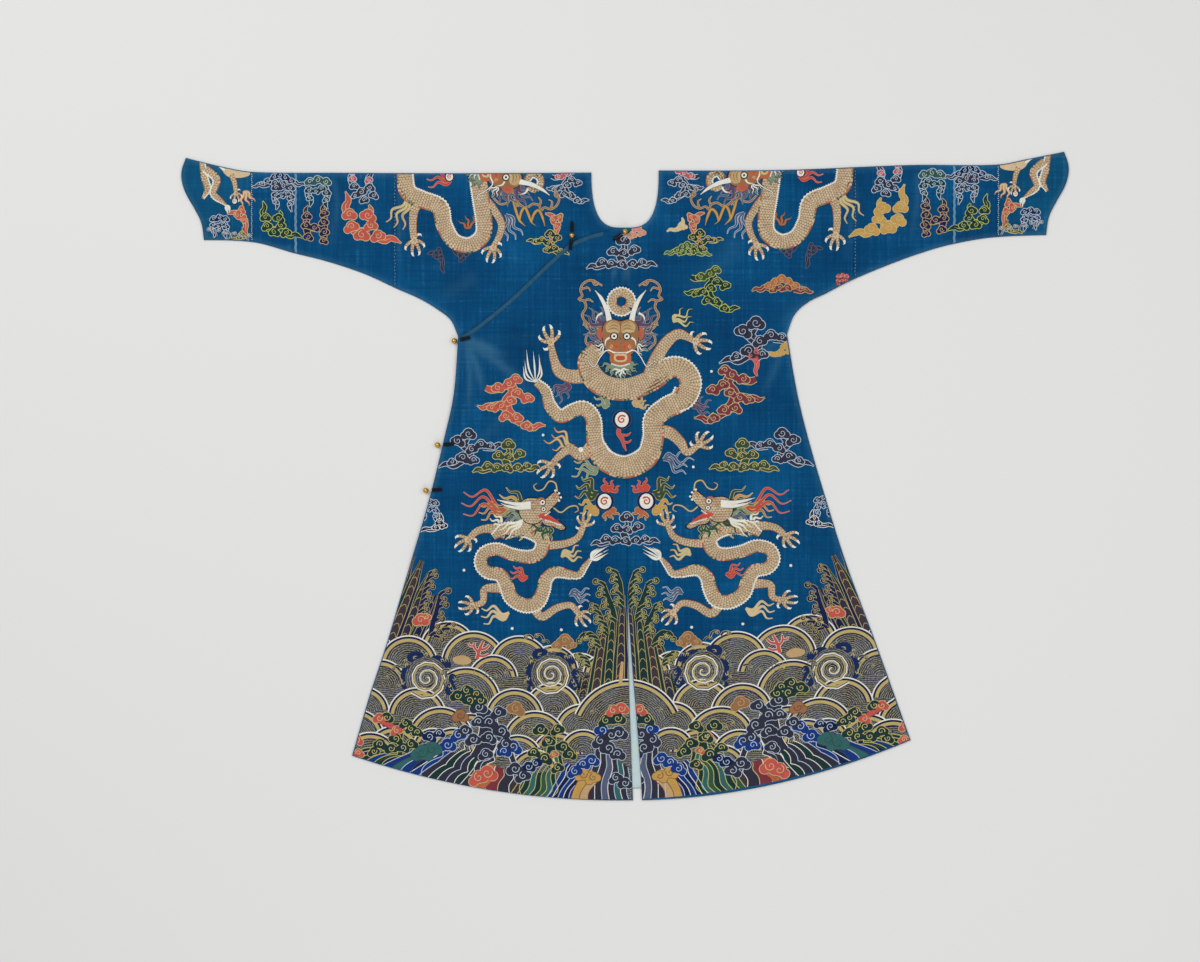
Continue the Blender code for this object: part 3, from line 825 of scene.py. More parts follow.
def back_lining():
    """A strip over the back within the slit, with small ripples: a sine across times a sine along."""
    low, high = LINING_SIDES
    across = np.linspace(low, high, 16)
    share = np.linspace(0, 1, 70)[:, None]
    y = mix((hem(across) + BACK_HEM_SHORTER)[None], LINING_TOP, share)
    x = np.repeat(across[None], len(share), 0)
    z = np.full(x.shape, BACK + WALL / 2 + LINING_WALL)
    z = z + 0.0002 * np.sin(x / 0.013) * np.sin(y / 0.021)
    made = place("silk_lining", mesh_of("silk_lining", [np.stack([x, y, z], -1)]), LINING)
    wall = made.modifiers.new("wall", "SOLIDIFY")
    wall.thickness = LINING_WALL
    wall.offset = 0.0
    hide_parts("back_lining")


def tube(name, node, side, count, across_at, material):
    """A flattened tube: front wall, top fold, back wall and under seam, at stations from its inner end."""
    s = sign(side)
    out = np.linspace(0, 1, count + 1)[:, None]

    def wall(up, height):
        """One wall: ruled between its lower and upper edges, each drawn in by the fold."""
        across = across_at(out, up[None])
        y = mix(under(side, across) + FOLD_INSET, top(side, across) - FOLD_INSET, up[None])
        return in_3d(s * across, y, height)

    front = wall(np.linspace(0, 1, 34), front_height)
    back = wall(np.linspace(0, 1, 12), back_height)
    upper = fold_over(front[:, -1], back[:, -1]).transpose(1, 0, 2)
    lower = fold_over(front[:, 0], back[:, 0])
    lower[..., 1] = 2 * front[None, :, 0, 1] - lower[..., 1]
    patches = [front, upper, back[:, ::-1], lower.transpose(1, 0, 2)[:, ::-1]]
    made = shell(name, patches, material, "right" if side == "left" else "left")
    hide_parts(node)


def sleeves():
    """Upper sleeve, lower sleeve and cuff of each side, tubes set end to end with a gap at each seam."""
    for side in ("left", "right"):
        for part, start, end, flat, area in (
                ("upper", SLEEVE_SEAM, LOWER_SEAM, (0.218, 0.506), 0.098),
                ("lower", LOWER_SEAM, CUFF_SEAM, (0.097, 0.360), 0.032)):
            low, high = start + SEAM / 2, end - SEAM / 2
            tube(f"silk_sleeve_{part}_{side}", f"sleeve_{part}_{side}", side, steps(end - start),
                 lambda out, up, low=low, high=high: mix(low, high, out) + 0 * up, GROUND)
        tube("silk_cuff_" + side, "cuff_" + side, side, steps(0.14),
             lambda out, up: mix(CUFF_SEAM + SEAM / 2, read(MOUTH, "across", up), out),
             CUFF_GROUND)


# ---- Drawing figures ----

STEP = 0.00005                      # each level stands this far above the last
WITHIN_LEVEL = 0.000002             # and the patches of one level this far apart,
TURNS_IN_LEVEL = 24                 # in this many turns
FIRST = 0.00035                     # the lowest level over the cloth
BACK_SHARE = 0.32                   # the back's levels are this share as far apart
BACK_FIRST = 0.00004
FIGURE_MARGIN = 0.0022              # figures stop this far inside the outline
SLIT_MARGIN = 0.001
NEAR_SLIT = SLIT_TOP + 0.03
CUFF_DEPTH = 0.17                   # the cuff's mouth from its lower edge to its upper
NO_LIMIT = 9.0
SMALLEST_FACE = 2e-9                # twice the area, in square metres, below which a face is dropped
MAP_MARGIN = 0.005

DYES = {name: np.array(linear(*rgb)) for name, rgb in {
    "white": (228, 226, 214), "cream": (196, 184, 134), "gold": (208, 184, 146), "tan": (190, 158, 112),
    "brown": (148, 108, 72), "ochre": (192, 150, 80), "straw": (186, 166, 106), "yellow": (196, 182, 116),
    "lime": (178, 186, 96),
    "coral": (190, 84, 74), "red": (188, 74, 54), "pink": (206, 130, 120), "maroon": (122, 50, 60),
    "deep": (20, 40, 84),
    "rust": (178, 100, 66), "green": (50, 84, 66), "moss": (56, 74, 52), "forest": (22, 52, 50),
    "teal": (48, 98, 98), "sage": (126, 142, 118), "navy": (16, 30, 70), "royal": (18, 52, 122),
    "umber": (104, 78, 60), "umber_dark": (62, 52, 58), "charcoal": (46, 46, 62), "slate": (86, 92, 116),
    "grey": (136, 136, 140),
    "plum": (92, 68, 96), "ink": (12, 18, 36), "ice": (180, 196, 212), "worn": (98, 138, 166),
}.items()}


def to_left(x, y):
    """Carries a figure of the right half to the left: mirrored, spread and raised as the outline is."""
    out = -x
    low = smooth((0.25 - y) / 0.85)
    across = 0.006 * low + out * (1 + 0.036 * low * smooth(out / 0.3))
    lifted = 0.052 * out * low + (0.016 * smooth((out - 0.05) / 0.6)) * smooth((y - 0.2) / 0.2)
    return across, y + lifted


def edge_lines(side):
    """The outline's edges as lines to read between: heights of the sleeve's edges, widths of the side
    edge."""
    x = np.linspace(0, CUFF_SEAM + 0.16, 1200)
    down = np.linspace(0, 1, 400)
    wide = read(SIDE, side, down)
    side_y = mix(armpit(side)[1], hem(sign(side) * wide), down)
    return {"x": x, "top": top(side, x), "under": under(side, x), "side_y": side_y[::-1],
            "side_x": wide[::-1]}


EDGES = {side: edge_lines(side) for side in ("left", "right")}
NOTCH_X, NOTCH_Y = neck_edge(np.linspace(0, math.pi / 2, 300))


def keep_on_cloth(x, y):
    """Points past the robe's edges are drawn back to a margin inside them."""
    before = x.copy(), y.copy()
    for side in ("left", "right"):
        s, e = sign(side), EDGES[side]
        mine = x * s > 0
        out = np.abs(x)
        reach, level = armpit(side)
        upper = np.interp(out, e["x"], e["top"])
        notch = np.interp(out, NOTCH_X[::-1], NOTCH_Y[::-1])
        upper = np.where(out < NECK_HALF_WIDTH, notch, upper) - FIGURE_MARGIN
        lower = np.where(out > reach - FIGURE_MARGIN, np.interp(out, e["x"], e["under"]) + FIGURE_MARGIN,
                         -NO_LIMIT)
        in_skirt = y < level
        bottom = np.where(in_skirt | (out < reach), hem(x) + FIGURE_MARGIN, lower)
        y = np.where(mine, np.clip(y, bottom, np.maximum(upper, bottom)), y)
        wide = np.where(y < level, np.interp(y, e["side_y"], e["side_x"]) - FIGURE_MARGIN, NO_LIMIT)
        mouth_share = (y - np.interp(out, e["x"], e["under"])) / CUFF_DEPTH
        wide = np.minimum(wide, read(MOUTH, "across", mouth_share) - FIGURE_MARGIN)
        x = np.where(mine, s * np.minimum(out, wide), x)
    moved = np.hypot(x - before[0], y - before[1]) > 1e-6
    return x, y, moved


def shelves(sizes, gap=0.0015):
    """Places for boxes on shelves, the tallest first: each a gap after the last, and a full shelf starts
    another.

    Gives each box's lower left corner, and the side of the square that holds them all."""
    wide = max(1.04 * math.sqrt(np.prod(sizes + gap, 1).sum()), sizes[:, 0].max() + gap)
    spots = np.zeros_like(sizes)
    across = up = shelf = 0.0
    for k in np.argsort(-sizes[:, 1]):
        if across + sizes[k, 0] > wide:
            across, up, shelf = 0.0, up + shelf + gap, 0.0
        spots[k] = across, up
        across += sizes[k, 0] + gap
        shelf = max(shelf, sizes[k, 1])
    return spots, max(wide, up + shelf)


class Figures:
    """A group of figures: patches of one kind go into one piece, each level a thread's thickness above the
    last."""

    def __init__(self, name):
        """kinds holds the patches of each kind, and count turns the places within a level."""
        self.name, self.kinds, self.count = name, {}, 0

    def add(self, level, x, y, dye, run, half):
        """Keeps one patch: carried to its half, held on the cloth, its faces turned up and its flat ones
        dropped."""
        kind = "scales" if run is not None else "plain"
        if isinstance(dye, str):
            kind, dye = "sea", DYES["navy"]
        self.count += 1
        raised = (self.count % TURNS_IN_LEVEL) * WITHIN_LEVEL
        x, y = x * MM, y * MM
        if half == "left":
            x, y = to_left(x, y)
            x = np.where(y < NEAR_SLIT, np.maximum(x, slit_left(y) + SLIT_MARGIN), x)
        elif half == "right":
            x = np.where(y < NEAR_SLIT, np.minimum(x, centre(y) - SLIT_MARGIN), x)
        x, y, moved = keep_on_cloth(x, y)
        n, m = x.shape
        faces = np.arange(n * m).reshape(n, m)
        faces = np.stack([faces[:-1, :-1], faces[:-1, 1:], faces[1:, 1:], faces[1:, :-1]], -1).reshape(-1, 4)
        keep = ~moved.ravel()[faces].all(1)
        ax, ay = x.ravel()[faces], y.ravel()[faces]
        turned = (ax[:, 2] - ax[:, 0]) * (ay[:, 3] - ay[:, 1]) - (ay[:, 2] - ay[:, 0]) * (ax[:, 3] - ax[:, 1])
        keep &= np.abs(turned) > SMALLEST_FACE
        dye = np.broadcast_to(dye, (n - 1, m - 1, 3)).reshape(-1, 3)
        faces[turned < 0] = faces[turned < 0][:, ::-1]
        run = np.zeros((n * m, 2)) if run is None else run.reshape(-1, 2)
        if keep.any():
            self.kinds.setdefault(kind, []).append(
                (x.ravel(), y.ravel(), np.full(n * m, level * STEP + raised), faces[keep], dye[keep], run))

    def build(self):
        """A piece for each kind on each face of the robe: every patch at its layer's height.

        front height = cloth top + FIRST + lift, back height = cloth underside - BACK_FIRST - lift *
        BACK_SHARE,
        and on the piece's own map each patch lies at its plan size in a place of its own."""
        for kind, patches in sorted(self.kinds.items()):
            boxes = []
            for x, y, _lift, faces, _dye, _run in patches:
                used = np.unique(faces)
                boxes.append((x[used].min(), y[used].min(), np.ptp(x[used]), np.ptp(y[used])))
            boxes = np.array(boxes)
            spots, extent = shelves(boxes[:, 2:])
            start, found = 0, []
            for (x, y, lift, faces, dye, run), box, spot in zip(patches, boxes, spots):
                plan = np.stack([x, y], 1) - box[:2] + spot
                found.append((x, y, lift, faces + start, dye, run, plan))
                start += len(x)
            x, y, lift, faces, dye, run, plan = map(np.concatenate, zip(*found))
            share = np.abs(x) / side_across("right", x, hem(x))
            covered = (y > hem(x) + BACK_HEM_SHORTER * (1 - share ** 4) + FIGURE_MARGIN)[faces].all(1)
            for face, shown, height in (("front", faces, cloth_top(x, y) + FIRST + lift),
                                        ("back", faces[covered][:, ::-1],
                                         BACK - WALL / 2 - BACK_FIRST - lift * BACK_SHARE)):
                if not len(shown):
                    continue
                used, corner = np.unique(shown, return_inverse=True)
                corner = corner.reshape(-1, 4)
                mesh = mesh_from(f"{self.name}_{kind}_{face}", np.stack([x, y, height], 1)[used], corner)
                colour = mesh.attributes.new("dye", "FLOAT_COLOR", "CORNER")
                values = np.ones((len(corner), 4, 4), np.float32)
                values[..., :3] = (dye if face == "front" else dye[covered])[:, None]
                colour.data.foreach_set("color", values.ravel())
                self.add_map(mesh, "run", run[used][corner])
                self.add_map(mesh, "OFBake", (MAP_MARGIN + (1 - 2 * MAP_MARGIN) * plan[used]
                                              / extent)[corner])
                place(mesh.name, mesh, {"scales": SCALES, "sea": SEA, "plain": FIGURES}[kind])

    @staticmethod
    def add_map(mesh, name, values):
        """A UV map, from a value for each face's corner."""
        layer = mesh.uv_layers.new(name=name)
        layer.data.foreach_set("uv", values.astype(np.float32).ravel())


class Pen:
    """Draws into a group of figures from a place, size and turn, on one half of the robe or across both."""

    def __init__(self, group, half=None, matrix=None, level=0):
        """size is the root of the area that a unit square is drawn with."""
        self.group, self.half, self.level = group, half, level
        self.matrix = np.eye(3) if matrix is None else matrix
        self.size = abs(np.linalg.det(self.matrix[:2, :2])) ** 0.5

    def at(self, x, y, size=1.0, turn=0.0, flip=False, level=0):
        """A pen placed within this one: mirrored, turned in degrees, sized, then moved."""
        a = math.radians(turn)
        f = -1 if flip else 1
        move = np.array([[size * f * math.cos(a), -size * math.sin(a), x],
                         [size * f * math.sin(a), size * math.cos(a), y], [0, 0, 1.0]])
        return Pen(self.group, self.half, self.matrix @ move, self.level + level)

    def lay(self, level, points, dye, run=None):
        """Adds a grid of points, carried by the pen's matrix."""
        if isinstance(dye, str) and dye != "sea":
            dye = DYES[dye]
        flat = points @ self.matrix[:2, :2].T + self.matrix[:2, 2]
        self.group.add(self.level + level, flat[..., 0], flat[..., 1], dye, run, self.half)


def line(points, gap=4.0, closed=False):
    """A smooth curve through the points (Catmull-Rom), read at even steps of about gap."""
    p = np.asarray(points, float)
    if closed:
        p = np.concatenate([p[-1:], p, p[:2]])
    else:
        p = np.concatenate([2 * p[:1] - p[1:2], p, 2 * p[-1:] - p[-2:-1]])
    t = np.linspace(0, 1, 16, endpoint=False)[:, None, None]
    a, b, c, d = p[None, :-3], p[None, 1:-2], p[None, 2:-1], p[None, 3:]
    curve = 0.5 * (2 * b + (c - a) * t + (2 * a - 5 * b + 4 * c - d) * t**2 + (3 * b - a - 3 * c + d) * t**3)
    curve = np.concatenate([curve.transpose(1, 0, 2).reshape(-1, 2), p[-2:-1]])
    length = np.r_[0, np.cumsum(np.hypot(*np.diff(curve, axis=0).T))]
    count = max(int(math.ceil(length[-1] / gap)), 3) + 1
    even = np.linspace(0, length[-1], count)
    return np.stack([np.interp(even, length, curve[:, k]) for k in (0, 1)], 1)


def beside(path):
    """Each point's unit vector to the left of the path."""
    ahead = np.gradient(path, axis=0)
    ahead /= np.maximum(np.linalg.norm(ahead, axis=1), 1e-9)[:, None]
    return np.stack([-ahead[:, 1], ahead[:, 0]], 1)


def along(values, count):
    """Values spread evenly over a path's length, on a smooth curve."""
    values = np.atleast_1d(np.asarray(values, float))
    if len(values) == 1:
        return np.full(count, values[0])
    keys = np.linspace(0, 1, len(values))
    at = np.linspace(0, 1, count)
    i = np.clip(np.searchsorted(keys, at, "right") - 1, 0, len(keys) - 2)
    t = smooth((at - keys[i]) / (keys[i + 1] - keys[i]))
    return mix(values[i], values[i + 1], t)


def ribbon(pen, level, path, half, dye, bands=(-1, 1), run=False, gap=4.0):
    """A strip along a path: point = path + left * half width * v, for v at the bands' edges.

    dye is one name, or one for each band."""
    path = line(path, gap)
    wide = along(half, len(path))
    v = np.asarray(bands, float)
    if len(v) == 2:
        v = np.linspace(v[0], v[1], int(wide.max() * (v[1] - v[0]) / 6.5) + 2)
    points = path[:, None] + beside(path)[:, None] * (wide[:, None] * v[None])[..., None]
    if not isinstance(dye, str) and np.ndim(dye) == 1 and isinstance(dye[0], str):
        dye = np.array([DYES[name] for name in dye])[None]
    laid = None
    if run:
        length = np.r_[0, np.cumsum(np.hypot(*np.diff(path, axis=0).T))] * MM
        laid = np.stack([np.repeat(length[:, None], len(v), 1) + 0.001, wide[:, None] * v[None] * MM + 0.5],
                        -1)
    pen.lay(level, points, dye, laid)
    return path


def outlined(pen, path, half, fill, rim_dye, rim=1.6, gap=4.0, level=0):
    """A strip with a narrow rim of another dye showing round it."""
    half = np.atleast_1d(np.asarray(half, float))
    ribbon(pen, level, path, half + rim, rim_dye, gap=gap)
    ribbon(pen, level + 1, path, half, fill, gap=gap)


def disc(pen, level, x, y, radius, dye, stretch=1.0, turn=0.0, count=18, rings=(0.02, 1.0)):
    """Rings about a point: one dye, or one for each ring."""
    angle = np.linspace(0, 2 * math.pi, count + 1)
    if len(rings) == 2 and radius * (rings[1] - rings[0]) > 6:
        rings = np.linspace(rings[0], rings[1], int(radius / 6) + 2)
    r = radius * np.asarray(rings)[:, None]
    a = math.radians(turn)
    u, v = r * np.cos(angle), r * np.sin(angle) * stretch
    points = np.stack([x + u * math.cos(a) - v * math.sin(a), y + u * math.sin(a) + v * math.cos(a)], -1)
    if not isinstance(dye, str):
        dye = np.array([DYES[name] for name in dye])[:, None]
    pen.lay(level, points, dye)


def curl(pen, level, x, y, radius, dye, turns=1.35, start=0.0, spin=1, thick=0.9, inner=0.12):
    """A spiral line that winds in from the radius."""
    t = np.linspace(0, 1, int(10 * turns) + 3)
    angle = math.radians(start) + spin * 2 * math.pi * turns * t
    r = radius * (1 - t * (1 - inner))
    path = np.stack([x + r * np.cos(angle), y + r * np.sin(angle)], 1)
    side = beside(path) * (thick * (1 - 0.4 * t))[:, None]
    pen.lay(level, np.stack([path - side, path + side], 1), dye)


def blob(pen, level, outline_points, dye, middle=None, rings=4, gap=3.0, run=False):
    """A closed smooth outline filled from its middle outwards."""
    edge = line(outline_points, gap, closed=True)
    middle = edge[:-1].mean(0) if middle is None else np.asarray(middle, float)
    share = np.linspace(0.03, 1, rings + 1)[:, None, None]
    points = middle + (edge[None] - middle) * share
    if not isinstance(dye, str):
        dye = np.array([DYES[name] for name in dye])[:, None]
    pen.lay(level, points, dye, points[..., ::-1] * MM + 0.5 if run else None)


# ---- Clouds ----

Cloud = namedtuple("Cloud", "heads tails")
# Each head: across, up, radius, where its curl starts and its spin. Each tail: points and half widths.
CLOUDS = {
    "drift": Cloud(
        ((2, 16, 12, 200, 1), (-17, 10, 10, 90, -1), (20, 8, 11, 90, 1), (-36, -2, 9, 60, -1),
         (38, -2, 9, 120, 1),
         (-14, -8, 10, 250, 1), (8, -8, 10, 300, -1), (26, -14, 8, 0, 1), (-54, -10, 6, 200, -1)),
        ((((30, -8), (48, -6), (60, -14), (74, -10), (84, -18)), (9, 7, 6, 4, 0.5)),
         (((-34, -10), (-50, -16), (-62, -12), (-76, -20), (-86, -18)), (9, 7, 6, 4, 0.5)))),
    "zigzag": Cloud(
        ((15, 52, 11, 0, 1), (0, 42, 11, 60, -1), (-22, 34, 11, 120, 1), (20, 22, 11, 180, -1),
         (40, 12, 11, 0, 1),
         (4, 6, 10, 160, 1), (-16, -4, 10, 60, -1), (-34, -8, 9, 30, 1), (-6, -25, 11, 0, -1),
         (17, -29, 11, 90, 1),
         (38, -46, 10, 20, -1)),
        ((((-22, 34), (-36, 30), (-48, 34)), (9, 7, 5)),
         (((-20, -4), (-44, -4), (-54, -8), (-66, -3)), (9, 6, 5, 0.5)),
         (((34, -42), (52, -50), (62, -44), (78, -45)), (9, 6, 5, 0.5)),
         (((4, 42), (10, 24), (-4, 4), (2, -20), (28, -38)), (9, 10, 10, 10, 9)))),
    "crown": Cloud(
        ((2, 32, 15, 200, 1), (28, 16, 14, 30, -1), (-28, 8, 12, 20, 1), (-6, -4, 12, 90, -1),
         (-50, 4, 9, 60, 1),
         (16, -24, 14, 0, 1), (-10, -30, 11, 200, -1), (42, -34, 9, 90, 1)),
        ((((-34, 4), (-56, 0), (-70, 8), (-88, 4)), (9, 7, 5, 0.5)),
         (((16, -28), (38, -42), (56, -38), (76, -48)), (9, 8, 5, 0.5)),
         (((4, 28), (14, 8), (-2, -8), (6, -24)), (8, 9, 9, 8)))),
    "pine": Cloud(
        ((4, 38, 14, 0, 1), (32, 14, 12, 150, -1), (-20, 10, 12, 60, 1), (6, 6, 10, 90, -1),
         (-48, -16, 11, 0, 1),
         (-24, -20, 11, 200, -1), (2, -22, 11, 90, 1), (28, -20, 11, 0, -1), (50, -16, 9, 60, 1)),
        ((((44, -16), (60, -24), (72, -18), (88, -26)), (9, 6, 5, 0.5)),
         (((-44, -20), (-60, -28), (-72, -24), (-86, -32)), (9, 6, 5, 0.5)),
         (((4, 34), (8, 18), (-4, 2), (4, -18)), (6, 7, 8, 8)))),
    "fork": Cloud(
        ((-30, 20, 12, 20, 1), (-26, -4, 12, 200, -1), (-6, -20, 13, 90, 1), (6, 18, 13, 0, -1),
         (12, -2, 11, 150, 1),
         (26, -22, 12, 60, -1)),
        ((((-28, 14), (-38, 34), (-32, 48), (-38, 66)), (9, 7, 5, 0.5)),
         (((22, -20), (38, -30), (52, -26), (72, -36)), (9, 7, 5, 0.5)),
         (((8, 14), (12, 30), (8, 40)), (8, 5, 0.6)), (((-28, 0), (-14, -14), (10, -14)), (8, 9, 9)))),
    "square": Cloud(
        ((-26, 26, 12, 20, 1), (26, 34, 11, 200, -1), (-28, -2, 12, 90, 1), (-4, -8, 12, 0, -1),
         (24, 8, 12, 150, 1),
         (26, -22, 12, 60, -1), (-22, -36, 12, 200, 1), (24, -48, 10, 0, 1)),
        ((((-26, 24), (-30, 44), (-22, 58)), (8, 5, 0.5)), (((26, 30), (20, 50), (26, 62)), (8, 5, 0.5)),
         (((-26, 20), (-28, -4), (-22, -36)), (8, 9, 8)), (((26, 30), (26, -10), (24, -44)), (7, 8, 8)),
         (((-24, -6), (0, -10), (24, -12)), (8, 9, 8)))),
    "sprig": Cloud(
        ((0, 8, 9, 30, 1), (12, -2, 8, 200, -1), (-10, -6, 8, 60, 1)),
        ((((-10, -8), (-26, -12), (-40, -10), (-54, -18)), (7, 5, 4, 0.6)),
         (((4, 8), (6, 20), (2, 34)), (6, 4, 0.6)))),
    "fall": Cloud(
        ((-20, 8, 11, 0, 1), (0, 12, 12, 90, -1), (22, 8, 11, 180, 1), (-22, -14, 9, 60, -1),
         (10, -10, 9, 0, 1),
         (24, -20, 9, 90, 1), (-4, -16, 8, 0, -1), (-20, -34, 7, 90, 1), (22, -38, 7, 0, -1)),
        ((((-22, -8), (-24, -26), (-16, -42), (-20, -58)), (8, 7, 5, 0.6)),
         (((18, -6), (26, -26), (20, -44), (26, -64)), (8, 7, 5, 0.6)))),
    "rise": Cloud(
        ((-24, 6, 10, 0, 1), (-6, -10, 12, 90, -1), (16, 2, 11, 180, 1), (26, -18, 10, 60, -1),
         (2, -30, 10, 0, 1),
         (-22, -18, 8, 200, 1), (-28, 26, 8, 90, 1), (14, 22, 8, 0, -1), (-30, 42, 6, 0, 1)),
        ((((-26, 8), (-34, 26), (-28, 44), (-32, 62)), (8, 6, 5, 0.6)),
         (((16, 4), (12, 24), (20, 40), (14, 54)), (8, 7, 5, 0.6)))),
}


def heads(pen, level, spots, fill, rim, thick=0.75, rim_width=1.5):
    """Cloud heads: three lobes each, all the rims first so that touching lobes share one outline, then curls.

    Rims and curls keep their width in millimetres whatever the cloud's size."""
    thick, rim_width = thick / pen.size, rim_width / pen.size
    for k, (x, y, r, start, spin) in enumerate(spots):
        lean = 0.25 * math.sin(1.7 * k)
        for step, (dx, dy, share) in enumerate(((0, 0.14, 0.84), (-0.64, -0.20 - lean, 0.60),
                                                (0.64, -0.20 + lean, 0.60))):
            for up, radius, dye in ((0, share * r + rim_width, rim), (1, share * r, fill)):
                pen.group.count = step + 8 * (k % 3)
                disc(pen, level + up, x + dx * r, y + dy * r, radius, dye, count=12,
                     rings=(0.02 if up else 0.62, 1.0))
        curl(pen, level + 2, x, y + 0.10 * r, r * 0.62, rim, 1.2, start, spin, thick)


def cloud(pen, design, fill, rim, second=None):
    """Tails, then heads; a second dye takes over the upper heads."""
    shape = CLOUDS[design]
    top_head = max(head[1] for head in shape.heads)
    for points, half in shape.tails:
        outlined(pen, points, half, fill, rim, 1.5 / pen.size, gap=4.5)
        ribbon(pen, 2, points[:-1], (0.2, 0.8 / pen.size, 0.2), rim, gap=4.5)
    upper = [head for head in shape.heads if second and head[1] > top_head - 22]
    heads(pen, 2, [head for head in shape.heads if head not in upper], fill, rim)
    heads(pen, 4, upper, second, rim)


# ---- Dragons ----

def body(pen, path, half, spine=1, level=1, belly=None, tooth=3.0):
    """A scaled body: a dark edge, rows of scales, a white toothed spine on one side (1 left, -1 right, 0
    none) of
    its heading and a dotted belly on the other."""
    half = np.atleast_1d(np.asarray(half, float))
    ribbon(pen, level, path, half + 1.0, "umber", gap=4.0)
    ribbon(pen, level + 1, path, half, "gold", np.linspace(-1, 1, 7), run=True, gap=4.0)
    if spine:
        track = line(path, 2.3)
        wide = along(half, len(track))
        out = beside(track) * spine
        saw = np.where(np.arange(len(track)) % 2, tooth, 0.2) * np.minimum(wide / 9, 1)
        inner = track + out * (wide - 1.3)[:, None]
        outer = track + out * (wide + 0.3 + saw)[:, None]
        pen.lay(level + 2, np.stack([inner, outer], 1), "white")
    bottom = line(path, 3.2)
    wide = along(half, len(bottom))
    out = beside(bottom) * (belly or -spine or -1)
    near, far = bottom + out * (wide * 0.88 - 0.6)[:, None], bottom + out * (wide + 0.6)[:, None]
    turn = (np.arange(len(bottom) - 1) * 3 + np.arange(len(bottom) - 1) // 4) % 7
    dots = np.array([DYES[name] for name in ("coral", "tan", "sage", "brown", "gold", "green", "rust")])[turn]
    pen.lay(level + 2, np.stack([near, far], 1), dots[:, None])


def plume(pen, x, y, heading, length, count=6, spread=80, dye="white", level=1):
    """Quills that fan out from a tail's end, the middle ones longest and bending back together."""
    for k in range(count):
        share = k / (count - 1) * 2 - 1
        turn = math.radians(heading + spread / 2 * share)
        bend = math.radians(heading + spread / 2 * share * 0.1 - 8)
        reach = length * (1 - 0.42 * abs(share) + 0.10 * (k % 2))
        middle = (x + reach * 0.45 * math.cos(turn), y + reach * 0.45 * math.sin(turn))
        tip = (middle[0] + reach * 0.55 * math.cos(bend), middle[1] + reach * 0.55 * math.sin(bend))
        outlined(pen, ((x, y), middle, tip), (0.8, 1.9, 0.2), dye, "slate", 0.4, gap=3.5, level=level)


def paw(pen, x, y, heading, size=1.0, level=1):
    """A palm with spread toes, each ending in a white hooked talon."""
    here = pen.at(x, y, size, heading)
    disc(here, level, 0, 0, 7.8, "umber", 0.85)
    for toe, reach, hook in ((78, 21, 16), (32, 27, 12), (-14, 27, -10), (-62, 22, -16), (158, 15, 20)):
        a, b = math.radians(toe), math.radians(toe - hook)
        knuckle = (reach * 0.55 * math.cos(a), reach * 0.55 * math.sin(a))
        tip = (knuckle[0] + reach * 0.45 * math.cos(b), knuckle[1] + reach * 0.45 * math.sin(b))
        c = math.radians(toe - hook * 4.6)
        point = (tip[0] + 10 * math.cos(c), tip[1] + 10 * math.sin(c))
        ribbon(here, level, ((0, 0), knuckle, tip), (4.8, 4.2, 3.6), "umber", gap=3.5)
        ribbon(here, level + 1, ((0, 0), knuckle, tip), (4.0, 3.4, 2.8), "gold", (-1, 0, 1), run=True,
               gap=3.5)
        bow = ((tip[0] + point[0]) / 2 + 3 * math.cos(b), (tip[1] + point[1]) / 2 + 3 * math.sin(b))
        ribbon(here, level + 2, (tip, bow, point), (2.9, 2.3, 0.2), "white", gap=2.5)
    disc(here, level + 1, 0, 0, 7.0, "gold", 0.85)
    curl(here, level + 2, 0, 0, 3.4, "umber", 1.0, 0, 1, 0.6)


def limb(pen, path, half, size=1.0, level=1, turn=None):
    """A scaled leg that ends in a paw heading the way it runs."""
    half = np.atleast_1d(np.asarray(half, float))
    ribbon(pen, level, path, half + 0.9, "umber", gap=4.0)
    ribbon(pen, level + 1, path, half, "gold", (-1, -0.5, 0, 0.5, 1), run=True, gap=4.0)
    track = line(path, 4.0)
    side = beside(track) * (along(half, len(track)) * 0.98)[:, None]
    pen.lay(level + 2, np.stack([track + side * 0.90, track + side], 1), "rust")
    ahead = track[-1] - track[-3]
    heading = math.degrees(math.atan2(ahead[1], ahead[0])) if turn is None else turn
    ahead = ahead / np.linalg.norm(ahead)
    paw(pen, *(track[-1] + ahead * 4), heading, size, level)


def tuft(pen, x, y, heading, length, count=4, spread=34, dyes=("grey", "white"), level=0, wave=0.10,
         half=2.3):
    """Locks of hair or flame: pointed strands side by side from one root, their tips swaying apart, with
    pale rims."""
    for k in range(count):
        share = (k / max(count - 1, 1)) * 2 - 1
        reach = length * (1.20 - 0.22 * abs(share) - 0.20 * (k % 2))
        here = pen.at(x, y, 1.0, heading + spread * share * 0.45)
        off = share * half * 1.15 * (count - 1)
        bend = reach * wave
        path = ((0, off * 0.1), (reach * 0.26, off * 0.8 + bend), (reach * 0.56, off * 1.1 - bend * 0.8),
                (reach * 0.8, off * 1.3 + bend * 0.6), (reach, off * 1.4 + bend * 0.2))
        outlined(here, path, (half * 0.5, half, half * 0.9, half * 0.5, 0.2), dyes[0], dyes[1], 1.0, gap=3.5,
                 level=level)


def streamer(pen, path, fill, rim, half=(3.2, 3.2, 2.6, 0.4), level=0):
    """A long flame or filament."""
    outlined(pen, path, np.asarray(half) * 0.72, fill, rim, 0.8, gap=3.5, level=level)


